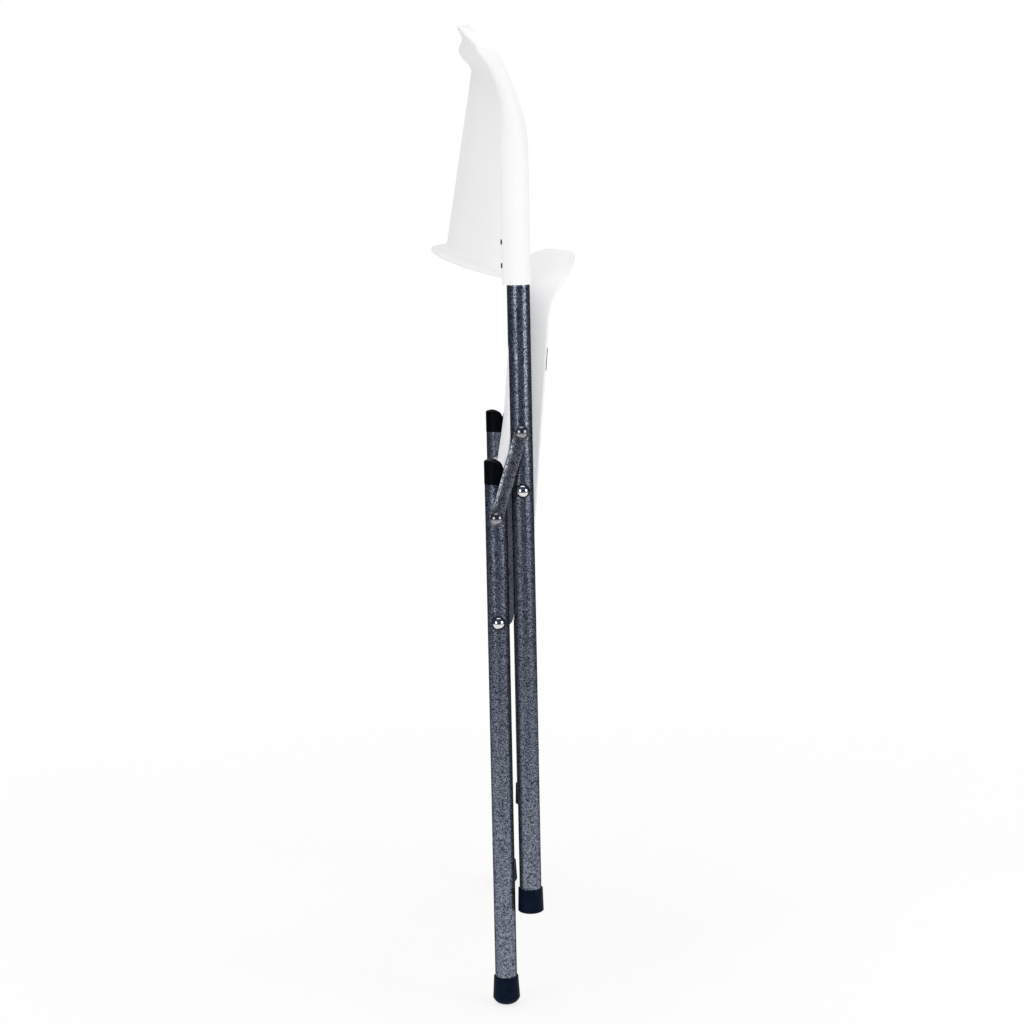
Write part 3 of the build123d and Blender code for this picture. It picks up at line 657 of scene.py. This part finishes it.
def sleeve_half(y, z):
    """Half thickness of a sleeve or rim beside its middle: round, then falling away at 45 degrees."""
    radius = rim_radius(z)
    aside = abs(abs(y) - half_track)
    if abs(y) >= half_track:
        return np.sqrt(np.clip(radius**2 - aside**2, 0.0, None))
    turn = radius * sqrt(0.5)
    round_part = np.sqrt(np.clip(radius**2 - np.minimum(aside, turn) ** 2, 0.0, None))
    return round_part - np.clip(aside - turn, 0.0, None)


def faces_at(y, z, top):
    """Depth of the whole moulding's front and back at a distance across, over some heights."""
    edge, stretch = edge_line(z)
    half = sleeve_half(y, z) * stretch
    if abs(y) >= half_track:
        return edge + half, edge - half
    front, back = panel_faces(y, z, top)
    width = SLEEVE_FILLET * (rim_radius(z) / SLEEVE_R) ** 2
    return blend_max(front, edge + half, width), -blend_max(-back, half - edge, width)


def arc(centre, radius_x, radius_z, start, end, steps):
    """Points along part of an ellipse in the side view, angles in degrees from +X."""
    turns = np.radians(np.linspace(start, end, steps))
    return [(centre[0] + radius_x * cos(turn), centre[1] + radius_z * sin(turn)) for turn in turns]


lower_shares = np.linspace(0.0, FINE_START, LOWER_STEPS, endpoint=False)
upper_shares = np.linspace(FINE_START, 1.0, UPPER_STEPS)
height_shares = np.concatenate([lower_shares, upper_shares])


def back_section(y):
    """Closed outline of the moulding at one distance across: up the front, over the rim, down the back."""
    top = top_of(y)
    bottom = bottom_of(y)
    front, back = faces_at(y, np.array([top - RIM_TIP_R]), top)
    cap = min(float(front[0] - back[0]) / 2, TIP_ROUND)
    share = min(abs(y) / half_track, 1.0) ** 2
    reach = FLANGE_REACH * (1 - share)
    lip_r = min(FLANGE_T / 2, reach / 2 + EDGE_ROUND / 4)
    fillet_r = min(FLANGE_FILLET, reach / 2)
    back_start = bottom + 2 * lip_r + fillet_r
    front_z = bottom + EDGE_ROUND + (top - cap - bottom - EDGE_ROUND) * height_shares
    back_z = back_start + (top - cap - back_start) * height_shares
    front_faces = faces_at(y, front_z, top)[0]
    back_faces = faces_at(y, back_z, top)[1]
    low_front = front_faces[0]
    low_back = back_faces[0]
    points = list(zip(front_faces, front_z))
    tip_round = min(cap, (front_faces[-1] - back_faces[-1]) / 2)
    points += arc((front_faces[-1] - tip_round, top - cap), tip_round, cap, 0, 90, ROUND_STEPS)[1:]
    points += arc((back_faces[-1] + tip_round, top - cap), tip_round, cap, 90, 180, ROUND_STEPS)[:-1]
    points += list(zip(back_faces, back_z))[::-1]
    points += arc((low_back - fillet_r, back_start), fillet_r, fillet_r, 0, -90, ROUND_STEPS)[1:]
    tip_r = FLANGE_TAPER * lip_r
    tip = (low_back - reach + tip_r, bottom + tip_r)
    points += arc(tip, tip_r, tip_r, 90, 270, 2 * ROUND_STEPS)
    low_edge = (low_front - EDGE_ROUND, bottom + EDGE_ROUND)
    points += arc(low_edge, EDGE_ROUND, EDGE_ROUND, 270, 360, ROUND_STEPS)[:-1]
    return [(x, y, z) for x, z in points]


def backrest():
    """The backrest, with plain collars on its sleeves and a bore for each leg."""
    inner = np.linspace(0.0, half_track - SLEEVE_R - SLEEVE_FILLET, PANEL_STATIONS, endpoint=False)
    joint = np.linspace(inner[-1] + (inner[1] - inner[0]), half_track, JOINT_STATIONS, endpoint=False)
    outer = half_track + SLEEVE_R * np.sin(np.linspace(0.0, pi / 2, SLEEVE_STATIONS))
    right = np.concatenate([inner, joint, outer])
    stations = np.concatenate([-right[:0:-1], right])
    sections = [back_section(y) for y in stations]
    points = [point for section in sections for point in section]
    piece = mesh_object("backrest_moulding", points, loop_faces(len(sections), len(sections[0])))
    tools = []
    for side in (-1, 1):
        mouth = Vector((sleeve_x, side * half_track, mouth_z))
        collar_top = mouth + Vector((0, 0, COLLAR_HEIGHT))
        tools.append(("UNION", rod("collar", mouth, collar_top, SLEEVE_R + COLLAR_PROUD, COLLAR_SIDES)))
    for side in (-1, 1):
        below = Vector((front_x, side * half_track, mouth_z - COLLAR_HEIGHT))
        end = Vector((front_x, side * half_track, mouth_z + BORE_DEPTH))
        tools.append(("DIFFERENCE", rod("bore", below, end, tube_r + BORE_CLEARANCE)))
    carve(piece, tools)
    dress(piece, "front_frame", "shell", "backrest")


# Seat: a tray with a rolled nose and a deep front apron, drawn as rings round its outline
joint_places = {joint["name"]: Vector(joint["pos_m"]) for joint in frame["record"]["behaviour"]["joints"]}
seat_pivot = joint_places["seat_fold"]
seat_ahead = Vector((sin(SEAT_LEAN), 0, cos(SEAT_LEAN)))
seat_up = Vector((-cos(SEAT_LEAN), 0, sin(SEAT_LEAN)))
seat_across = Vector((0, 1, 0))
seat_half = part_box("left_seat_bracket")[0].y


def on_seat(along, across, up):
    """Place in the chair of a place on the folded seat."""
    shift = seat_ahead * float(along) + seat_across * float(across) + seat_up * float(up)
    return Vector((seat_pivot.x, 0, seat_pivot.z)) + shift


def seat_outline():
    """Points of the seat's outline with their outward angles, from the middle of the front edge round."""
    bow_r = (seat_half**2 + FRONT_BOW**2) / (2 * FRONT_BOW)
    bow_middle = SEAT_FRONT - bow_r
    corner_across = seat_half - FRONT_CORNER
    corner_along = bow_middle + sqrt((bow_r - FRONT_CORNER) ** 2 - corner_across**2)
    bow_turn = atan2(corner_across, corner_along - bow_middle)
    rear_along = -SEAT_REAR + REAR_CORNER
    rear_across = seat_half - REAR_CORNER
    half = []
    for turn in np.linspace(0, bow_turn, BOW_STEPS, endpoint=False):
        half.append((bow_middle + bow_r * cos(turn), bow_r * sin(turn), turn))
    for turn in np.linspace(bow_turn, pi / 2, CORNER_STEPS, endpoint=False):
        along = corner_along + FRONT_CORNER * cos(turn)
        half.append((along, corner_across + FRONT_CORNER * sin(turn), turn))
    for along in np.linspace(corner_along, rear_along, SIDE_STEPS, endpoint=False):
        half.append((along, seat_half, pi / 2))
    for turn in np.linspace(pi / 2, pi, REAR_STEPS, endpoint=False):
        along = rear_along + REAR_CORNER * cos(turn)
        half.append((along, rear_across + REAR_CORNER * sin(turn), turn))
    for across in np.linspace(rear_across, 0, REAR_STEPS, endpoint=False):
        half.append((-SEAT_REAR, across, pi))
    other = [(along, -across, -turn) for along, across, turn in half[:0:-1]]
    return half + [(-SEAT_REAR, 0.0, pi)] + other


def dish(along, across):
    """How far the seat's top is sunk at a place."""
    away = ((along - DISH_PLACE) ** 2 + across**2) / DISH_R**2
    return DISH_DEPTH * max(0.0, 1 - away) ** 2


def top_height(along):
    """Height of the seat's top beside its dish: lower towards the front."""
    return SEAT_TOP - FRONT_FALL * float(smooth_step(along, FALL_START, FALL_END))


def rim_height(along):
    """Height of the lower edge: level under the sides, deepening into the apron."""
    share = np.clip((along - APRON_START) / (SEAT_FRONT - APRON_START), 0.0, 1.0)
    return -SKIRT_DROP - (APRON_DROP - SKIRT_DROP) * share**APRON_CURVE


def edge_radius(turn):
    """Radius of the top edge, by the way that it faces."""
    ahead = cos(turn)
    return SIDE_R + (NOSE_R - SIDE_R) * max(ahead, 0.0) ** 2 + (REAR_R - SIDE_R) * max(-ahead, 0.0) ** 2


def seat_profile(along, turn):
    """One spoke of the seat: over the top, round the edge, down the skirt, and back up inside."""
    radius = edge_radius(turn)
    draft = APRON_DRAFT * max(cos(turn), 0.0)
    low = rim_height(along)
    top = top_height(along)
    outside = []
    for angle in np.linspace(pi / 2, 0, NOSE_STEPS):
        outside.append((radius * (1 - cos(angle)), top - radius * (1 - sin(angle))))
    wall_top = top - radius
    skirt_drop = low + EDGE_ROUND - wall_top
    skirt = [(draft * share, wall_top + skirt_drop * share) for share in SKIRT_SHARES]
    rim_middle = (draft + SEAT_WALL / 2, low + SEAT_WALL / 2)
    rim = arc(rim_middle, SEAT_WALL / 2, SEAT_WALL / 2, 180, 360, RIM_STEPS)
    inner_r = max(radius - SEAT_WALL, LEAST_INSIDE_R)
    inner_top = top - SEAT_WALL
    inside = []
    for share in INSIDE_SHARES:
        height = inner_top - inner_r + (low - inner_top + inner_r) * share
        inside.append((draft * share + SEAT_WALL, height))
    for angle in np.linspace(0, pi / 2, RIM_STEPS):
        inside.append((SEAT_WALL + inner_r * (1 - cos(angle)), inner_top - inner_r * (1 - sin(angle))))
    return outside, skirt + rim + inside


def seat_spokes():
    """The seat's spokes, from the middle of its top over the edge to the middle of its underside."""
    shares = np.linspace(TOP_START, 1.0, TOP_RINGS, endpoint=False)
    spokes = []
    for along, across, turn in seat_outline():
        outside, rest = seat_profile(along, turn)
        reach = outside[0][0]
        edge_along = along - reach * cos(turn)
        edge_across = across - reach * sin(turn)
        inside_reach = rest[-1][0]
        under_along = along - inside_reach * cos(turn)
        under_across = across - inside_reach * sin(turn)
        spoke = []
        for share in shares:
            top_along = DISH_PLACE + (edge_along - DISH_PLACE) * share
            top_across = edge_across * share
            spoke.append((top_along, top_across, top_height(top_along) - dish(top_along, top_across)))
        for inset, up in outside + rest:
            side_along = along - inset * cos(turn)
            side_across = across - inset * sin(turn)
            spoke.append((side_along, side_across, up - dish(side_along, side_across)))
        for share in shares[::-1]:
            low_along = DISH_PLACE + (under_along - DISH_PLACE) * share
            low_across = under_across * share
            under = top_height(low_along) - SEAT_WALL - dish(low_along, low_across)
            spoke.append((low_along, low_across, under))
        spokes.append(spoke)
    return spokes


def seat_shell():
    """The seat's tray, with holes for the tails of the seat pivot's rivets."""
    spokes = seat_spokes()
    rings = len(spokes[0])
    count = len(spokes)
    points = [on_seat(*spokes[spoke][ring]) for ring in range(rings) for spoke in range(count)]
    faces = loop_faces(rings, count)
    middle_top = top_height(DISH_PLACE) - DISH_DEPTH
    points.append(on_seat(DISH_PLACE, 0, middle_top))
    points.append(on_seat(DISH_PLACE, 0, middle_top - SEAT_WALL))
    top, under = len(points) - 2, len(points) - 1
    last = (rings - 1) * count
    for spoke in range(count):
        after = (spoke + 1) % count
        faces.append((spoke, after, top))
        faces.append((last + spoke, last + after, under))
    piece = mesh_object("seat_moulding", points, faces)
    tools = []
    for side in (-1, 1):
        out = Vector((seat_pivot.x, side * (seat_half + SEAT_WALL), seat_pivot.z))
        inward = Vector((seat_pivot.x, side * (seat_half - 2 * SEAT_WALL), seat_pivot.z))
        tools.append(("DIFFERENCE", rod("tail_hole", out, inward, TAIL_HOLE_R)))
    carve(piece, tools)
    return piece


outline = np.array(seat_outline())
bow = outline[:BOW_STEPS]


def wall_middle(along, across):
    """Height of the middle of the seat's wall over a place, down through its rounded edges."""
    away = np.hypot(outline[:, 0] - along, outline[:, 1] - across)
    nearest = int(np.argmin(away))
    radius = edge_radius(outline[nearest, 2])
    past = max(radius - away[nearest], 0.0)
    rise = sqrt(max((radius - SEAT_WALL / 2) ** 2 - past**2, 0.0))
    return top_height(along) - radius + rise - dish(along, across)


def rib(name, start, end):
    """A thin rib under the seat, run between two places as far as the wall stays above its lower edge."""
    run = Vector(end) - Vector(start)
    aside = Vector((-run.y, run.x)).normalized() * RIB_T / 2
    base = SEAT_TOP - SEAT_WALL - RIB_DEPTH
    spots = [Vector(start) + run * float(share) for share in np.linspace(0.0, 1.0, RIB_STEPS)]
    heights = [(spot, wall_middle(spot.x, spot.y)) for spot in spots]
    kept = [(spot, high) for spot, high in heights if high > base + RIB_T / 2]
    points = []
    for spot, high in kept:
        corners = ((aside, high), (aside, base + RIB_T / 4), (aside * RIB_FOOT, base))
        corners += ((-aside * RIB_FOOT, base), (-aside, base + RIB_T / 4), (-aside, high))
        for offset, up in corners:
            points.append(on_seat(spot.x + offset.x, spot.y + offset.y, up))
    return mesh_object(name, points, capped_faces(len(kept), len(corners)))


def seat_ribs():
    """Ribs under the seat, each ending inside the wall that it meets."""
    inset = SEAT_WALL / 2
    made = []
    for across in RIB_ACROSS:
        front = float(np.interp(abs(across), bow[:, 1], bow[:, 0]))
        made.append(rib("long_rib", (-SEAT_REAR + inset, across), (front - inset, across)))
    for along in RIB_ALONG:
        reach = seat_half - inset
        made.append(rib("cross_rib", (along, -reach), (along, reach)))
    return made


def seat_bosses():
    """Round bosses inside the side skirts, one for each bracket screw."""
    screws = frame["nodes"]["seat_bracket_screws"].data
    coords = np.array([vertex.co for vertex in screws.vertices])
    left = coords[coords[:, 1] > 0]
    heads = left[left[:, 1] > left[:, 1].max() - HEAD_SLICE]
    spots = []
    for z in heads[:, 2]:
        if all(abs(z - other[1]) > BOSS_SPACING for other in spots):
            group = heads[np.abs(heads[:, 2] - z) < BOSS_SPACING]
            low, high = group.min(axis=0), group.max(axis=0)
            spots.append(((low[0] + high[0]) / 2, (low[2] + high[2]) / 2))
    made = []
    for x, z in spots:
        for side in (-1, 1):
            root = Vector((x, side * (seat_half - SEAT_WALL / 2), z))
            tip = Vector((x, side * (seat_half - BOSS_LENGTH), z))
            made.append(rod("boss", root, tip, BOSS_R, BOSS_SIDES))
    return made


def bumper_strip(side):
    """A thin rubber strip clipped round the skirt's lower edge and up its inner side."""
    outer_r = SEAT_WALL / 2 + BUMPER_T
    inner_r = SEAT_WALL / 2 - BUMPER_SINK
    outer = arc((0, 0), outer_r, outer_r, BUMPER_START, 360, BUMPER_STEPS) + [(outer_r, BUMPER_RISE)]
    inner = arc((0, 0), inner_r, inner_r, BUMPER_START, 360, BUMPER_STEPS) + [(inner_r, BUMPER_RISE)]
    section = outer + inner[::-1]
    points = []
    for end in (-1, 1):
        for inward, up in section:
            across = side * (seat_half - SEAT_WALL / 2 - inward)
            along = BUMPER_PLACE + end * BUMPER_LENGTH / 2
            points.append(on_seat(along, across, SEAT_WALL / 2 - SKIRT_DROP + up))
    return mesh_object("bumper_strip", points, capped_faces(2, len(section)))


def seat():
    """The seat's moulding and its bumper strips."""
    piece = join([seat_shell()] + seat_ribs() + seat_bosses())
    dress(piece, "seat", "shell", "seat_panel")
    strips = join([bumper_strip(-1), bumper_strip(1)])
    strips.name = "bumper_strips"
    dress(strips, "seat", "bumper", "seat_bumpers")


# Link straps: pressed bars, crowned across their outer faces between the rivets
def strap_places(length, reach):
    """Places round a strap, along and across it from its lower rivet, at one reach from its middle line."""
    along = np.linspace(0.0, length, STRAP_STEPS)
    turn = np.linspace(0.0, pi, STRAP_STEPS)[1:-1]
    places = [(step, reach) for step in along]
    places += [(length + reach * sin(angle), reach * cos(angle)) for angle in turn]
    places += [(step, -reach) for step in along[::-1]]
    places += [(-reach * sin(angle), -reach * cos(angle)) for angle in turn]
    return places


def link_strap(word, side):
    """A strap on its two rivets, flat under their heads, with their holes."""
    name = f"{word}_link"
    low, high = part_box(name)
    rivet_low, rivet_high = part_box(f"{word}_link_rivet")
    lower = (rivet_low + rivet_high) / 2
    half = lower.x - low.x
    lower.y = high.y if side < 0 else low.y
    upper = Vector((high.x - half, lower.y, high.z - half))
    length = (upper - lower).length
    ahead = (upper - lower).normalized()
    aside = Vector((-ahead.z, 0, ahead.x))
    outward = Vector((0, side, 0))
    thickness = high.y - low.y
    part_edge = EDGE_SHARE * STRAP_EDGE
    rings = [(half, thickness), (half, STRAP_EDGE), (half - part_edge, part_edge), (half - STRAP_EDGE, 0.0)]
    rings += [(share * half, 0.0) for share in STRAP_SHARES]
    points = []
    for reach, below in rings:
        for along, across in strap_places(length, reach):
            free = smooth_step(min(along, length - along), STRAP_FLAT, STRAP_CROWNED)
            height = thickness - STRAP_CROWN * float(free) * (reach / half) ** 2 - below
            spot = lower + ahead * float(along) + aside * float(across)
            points.append(spot + outward * max(height, 0.0))
    faces = capped_faces(len(rings), len(points) // len(rings))
    piece = mesh_object(f"{word}_link_strap", points, faces)
    through = outward * 2 * thickness
    holes = [rod("hole", spot - through, spot + through, STRAP_BORE_R) for spot in (lower, upper)]
    carve(piece, [("DIFFERENCE", hole) for hole in holes])
    dress(piece, name, "frame_paint", name)


# Weld beads where the cross braces meet the legs
def weld_bead(name, brace_node, side, body, fuller):
    """A rippled bead round one end of a brace, fuller towards the front (1) or the rear (-1)."""
    low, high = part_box(brace_node)
    centre = (low + high) / 2
    brace_r = (high.x - low.x) / 2
    points = []
    for step in range(BEAD_STEPS):
        turn = 2 * pi * step / BEAD_STEPS
        aside = brace_r * cos(turn)
        depth = half_track - sqrt(tube_r**2 - aside**2)
        spot = Vector((centre.x + aside, side * depth, centre.z + brace_r * sin(turn)))
        outward = Vector((cos(turn), 0, sin(turn)))
        inward = Vector((0, -side, 0))
        bead = BEAD_R * (1 + fuller * BEAD_LEAN * cos(turn)) + BEAD_RIPPLE * sin(BEAD_RIPPLES * turn)
        for around in range(BEAD_SIDES):
            angle = 2 * pi * around / BEAD_SIDES
            points.append(spot + bead * (outward * cos(angle) + inward * sin(angle)))
    piece = mesh_object(name, points, loop_faces(BEAD_STEPS, BEAD_SIDES, closed_loops=True))
    dress(piece, body, "frame_paint")


# Rear caps: short sleeves with a humped top, grooved where the open front leg rests
def cap_top(share):
    """Drop of a cap's top below its peak, from -1 at its rear to 1 at its front."""
    if share < CAP_PEAK:
        return CAP_REAR_FALL * ((CAP_PEAK - share) / (1 + CAP_PEAK)) ** 2
    return CAP_FALL * ((share - CAP_PEAK) / (1 - CAP_PEAK)) ** CAP_CURVE


def is_slanted(face):
    """Whether a face of a CAD cap slants to the front or the rear."""
    return abs(face.normal.y) < SLANT_LEVEL and SLANT_LOW < face.normal.z < SLANT_HIGH


def rest_groove(cad_cap, side):
    """Bar along the open front leg, as it lies across a folded rear leg, from the CAD cap's slanted face."""
    slanted = [face for face in cad_cap.data.polygons if is_slanted(face)]
    widest = max(slanted, key=lambda face: face.area)
    radius = tube_r + REST_CLEARANCE
    centre = widest.center + widest.normal * (radius - REST_DEPTH)
    centre.y = side * half_track
    along = Vector((-widest.normal.z, 0, widest.normal.x)) * 4 * tube_r
    return rod("rest_groove", centre - along, centre + along, radius, CAP_SIDES)


def rear_cap(word, side):
    """A cap on a rear leg's end, grooved for the open front leg."""
    name = f"{word}_rear_cap"
    low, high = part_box(name)
    centre_x = (low.x + high.x) / 2
    radius = tube_r + CAP_PROUD
    part_edge = EDGE_SHARE * CAP_EDGE
    rings = [(1.0, None), (1.0, CAP_EDGE), (1 - part_edge / radius, part_edge), (1 - CAP_EDGE / radius, 0.0)]
    rings += [(share, 0.0) for share in CAP_SHARES]
    points = []
    for reach, below in rings:
        for step in range(CAP_SIDES):
            turn = 2 * pi * step / CAP_SIDES
            x = centre_x + radius * reach * cos(turn)
            y = side * half_track + radius * reach * sin(turn)
            z = low.z if below is None else high.z - cap_top(reach * cos(turn)) - below
            points.append(Vector((x, y, z)))
    piece = mesh_object(f"{word}_cap_moulding", points, capped_faces(len(rings), CAP_SIDES))
    carve(piece, [("DIFFERENCE", rest_groove(frame["nodes"][name], side))])
    dress(piece, "rear_frame", "cap_plastic", name)


# Screws behind the sleeves, with crossed slots in their domed heads
def slot_cutter(spot, along, aside):
    """A thin bar across a screw's head, to cut a slot with."""
    reach = along * SCREW_SLOT_REACH * SCREW_R
    half = aside * SCREW_SLOT / 2
    points = []
    for depth in (-SCREW_SLOT_DEPTH, SCREW_DOME):
        centre = spot - Vector((depth, 0, 0))
        points += [centre - reach - half, centre + reach - half, centre + reach + half, centre - reach + half]
    return mesh_object("slot", points, capped_faces(2, 4))


def screw_head(spot):
    """A domed head on a sleeve's rear, sunk as deep as its dome is high, with its crossed slots cut."""
    rings = [(1.0, -1.0)] + SCREW_RINGS
    points = []
    for reach, height in rings:
        for step in range(SCREW_SIDES):
            turn = 2 * pi * step / SCREW_SIDES
            aside = reach * SCREW_R * cos(turn)
            points.append(spot + Vector((-height * SCREW_DOME, aside, reach * SCREW_R * sin(turn))))
    piece = mesh_object("screw_head", points, capped_faces(len(rings), SCREW_SIDES))
    crown = spot - Vector((SCREW_DOME, 0, 0))
    upright, level = Vector((0, 0, 1)), Vector((0, 1, 0))
    carve(piece, [("DIFFERENCE", slot_cutter(crown, upright, level))])
    carve(piece, [("DIFFERENCE", slot_cutter(crown, level, upright))])
    return piece


def back_screws():
    """Two screw heads on each sleeve, at the heights of the CAD screws."""
    heights = np.array([vertex.co.z for vertex in frame["nodes"]["backrest_screws"].data.vertices])
    split = (heights.min() + heights.max()) / 2
    rear = sleeve_x - SLEEVE_R
    made = []
    for group in (heights[heights < split], heights[heights > split]):
        height = (group.min() + group.max()) / 2
        for side in (-1, 1):
            made.append(screw_head(Vector((rear, side * half_track, height))))
    piece = join(made)
    piece.name = "back_screw_heads"
    dress(piece, "front_frame", "black_screw", "backrest_screws")


backrest()
back_screws()
seat()
for word, side in SIDES.items():
    rear_cap(word, side)
for word, side in SIDES.items():
    link_strap(word, side)
    weld_bead(f"{word}_front_brace_weld", "front_cross_brace", side, "front_frame", 1)
    weld_bead(f"{word}_rear_brace_weld", "rear_cross_brace", side, "rear_frame", -1)


# Stage: floor, lights, surroundings and camera
def seen_white(tree, mirrored):
    """White for the camera, and for mirrors by the share given, with a dim room for the rest."""
    rays = node(tree, "ShaderNodeLightPath").outputs
    white = combine(tree, "MAXIMUM", rays["Is Camera Ray"], mirrored)
    colour = ramp(tree, white, ROOM_SEEN, (1, 1, 1))
    seen = combine(tree, "MAXIMUM", rays["Is Camera Ray"], rays["Is Glossy Ray"])
    seen = combine(tree, "MAXIMUM", seen, rays["Is Transmission Ray"])
    return colour, seen


def mix_shaders(tree, share, first, second, output_kind):
    """Joins two shaders to the output, the second by its share."""
    mixed = node(tree, "ShaderNodeMixShader", Fac=share)
    tree.links.new(first.outputs[0], mixed.inputs[1])
    tree.links.new(second.outputs[0], mixed.inputs[2])
    output = tree.nodes.new(output_kind)
    tree.links.new(mixed.outputs[0], output.inputs["Surface"])


def studio_floor():
    """Pale floor that keeps the chair's shadow near it, and is plain white further off."""
    bpy.ops.mesh.primitive_plane_add(size=FLOOR_SIZE)
    floor = bpy.context.object
    floor.name = "studio_floor"
    material, tree = new_material("pale_floor")
    tint = ramp(tree, noise(tree, FLOOR_CLOUDS), FLOOR_DARK, FLOOR_PALE, 0.3, 0.7)
    shaded = node(tree, "ShaderNodeBsdfDiffuse", Color=tint)
    spot = node(tree, "ShaderNodeSeparateXYZ", Vector=place(tree))
    length = node(tree, "ShaderNodeVectorMath", Vector=place(tree))
    length.operation = "LENGTH"
    away = length.outputs["Value"]
    near = spread(tree, away, 1.0, 0.0, *MIRROR_FADE)
    square = combine(tree, "DIVIDE", spot.outputs["Y"], away)
    back = spread(tree, square, 0.0, 1.0, *BACKDROP_FADE)
    colour, seen = seen_white(tree, combine(tree, "MAXIMUM", near, back))
    white = node(tree, "ShaderNodeEmission", Color=colour, Strength=1.0)
    share = spread(tree, away, SHADOW_WHITE, 1.0, *SHADOW_FADE)
    mix_shaders(tree, combine(tree, "MULTIPLY", seen, share), shaded, white, "ShaderNodeOutputMaterial")
    floor.data.materials.append(material)


def softbox(name, target, spot, width, height, power):
    """A rectangular lamp, turned to its target and not seen by the camera."""
    light = bpy.data.lights.new(name, "AREA")
    light.shape = "RECTANGLE"
    light.size, light.size_y = width, height
    light.energy = power
    lamp = bpy.data.objects.new(name, light)
    lamp.visible_camera = False
    bpy.context.scene.collection.objects.link(lamp)
    lamp.location = spot
    lamp.rotation_euler = (Vector(target) - Vector(spot)).to_track_quat("-Z", "Y").to_euler()


def surroundings():
    """White for the camera, a white backdrop in a dim room for mirrors, and soft light from all round."""
    world = bpy.data.worlds.new("studio")
    bpy.context.scene.world = world
    world.use_nodes = True
    tree = world.node_tree
    tree.nodes.clear()
    looked = node(tree, "ShaderNodeTexCoord").outputs["Generated"]
    way = node(tree, "ShaderNodeSeparateXYZ", Vector=looked)
    behind = spread(tree, way.outputs["Y"], 0.0, 1.0, *BACKDROP_FADE)
    colour, seen = seen_white(tree, behind)
    room = node(tree, "ShaderNodeBackground", Color=(1, 1, 1, 1), Strength=ROOM_LIGHT)
    backdrop = node(tree, "ShaderNodeBackground", Color=colour, Strength=1.0)
    mix_shaders(tree, seen, room, backdrop, "ShaderNodeOutputWorld")


def camera():
    """The photo's camera, from its fitted place and angles."""
    down, turn, roll = radians(CAMERA_DOWN), radians(CAMERA_TURN), radians(CAMERA_ROLL)
    back = Vector((sin(turn) * cos(down), -cos(turn) * cos(down), sin(down)))
    level = Vector((0, 0, 1)).cross(back).normalized()
    upright = back.cross(level)
    right = level * cos(roll) + upright * sin(roll)
    up = upright * cos(roll) - level * sin(roll)
    lens = bpy.data.cameras.new("photo_camera")
    lens.sensor_width = SENSOR_MM
    lens.lens = FOCAL_PX / PHOTO_PX * SENSOR_MM
    lens.clip_end = VIEW_END
    eye = bpy.data.objects.new("photo_camera", lens)
    bpy.context.scene.collection.objects.link(eye)
    turned = Matrix((right, up, back)).transposed().to_4x4()
    eye.matrix_world = Matrix.Translation(CAMERA_PLACE) @ turned
    bpy.context.scene.camera = eye


middle = (cad_low + cad_high) / 2
studio_floor()
for name, settings in SOFTBOXES.items():
    softbox(name, middle, *settings)
surroundings()
camera()
bpy.context.scene.view_settings.view_transform = "Standard"
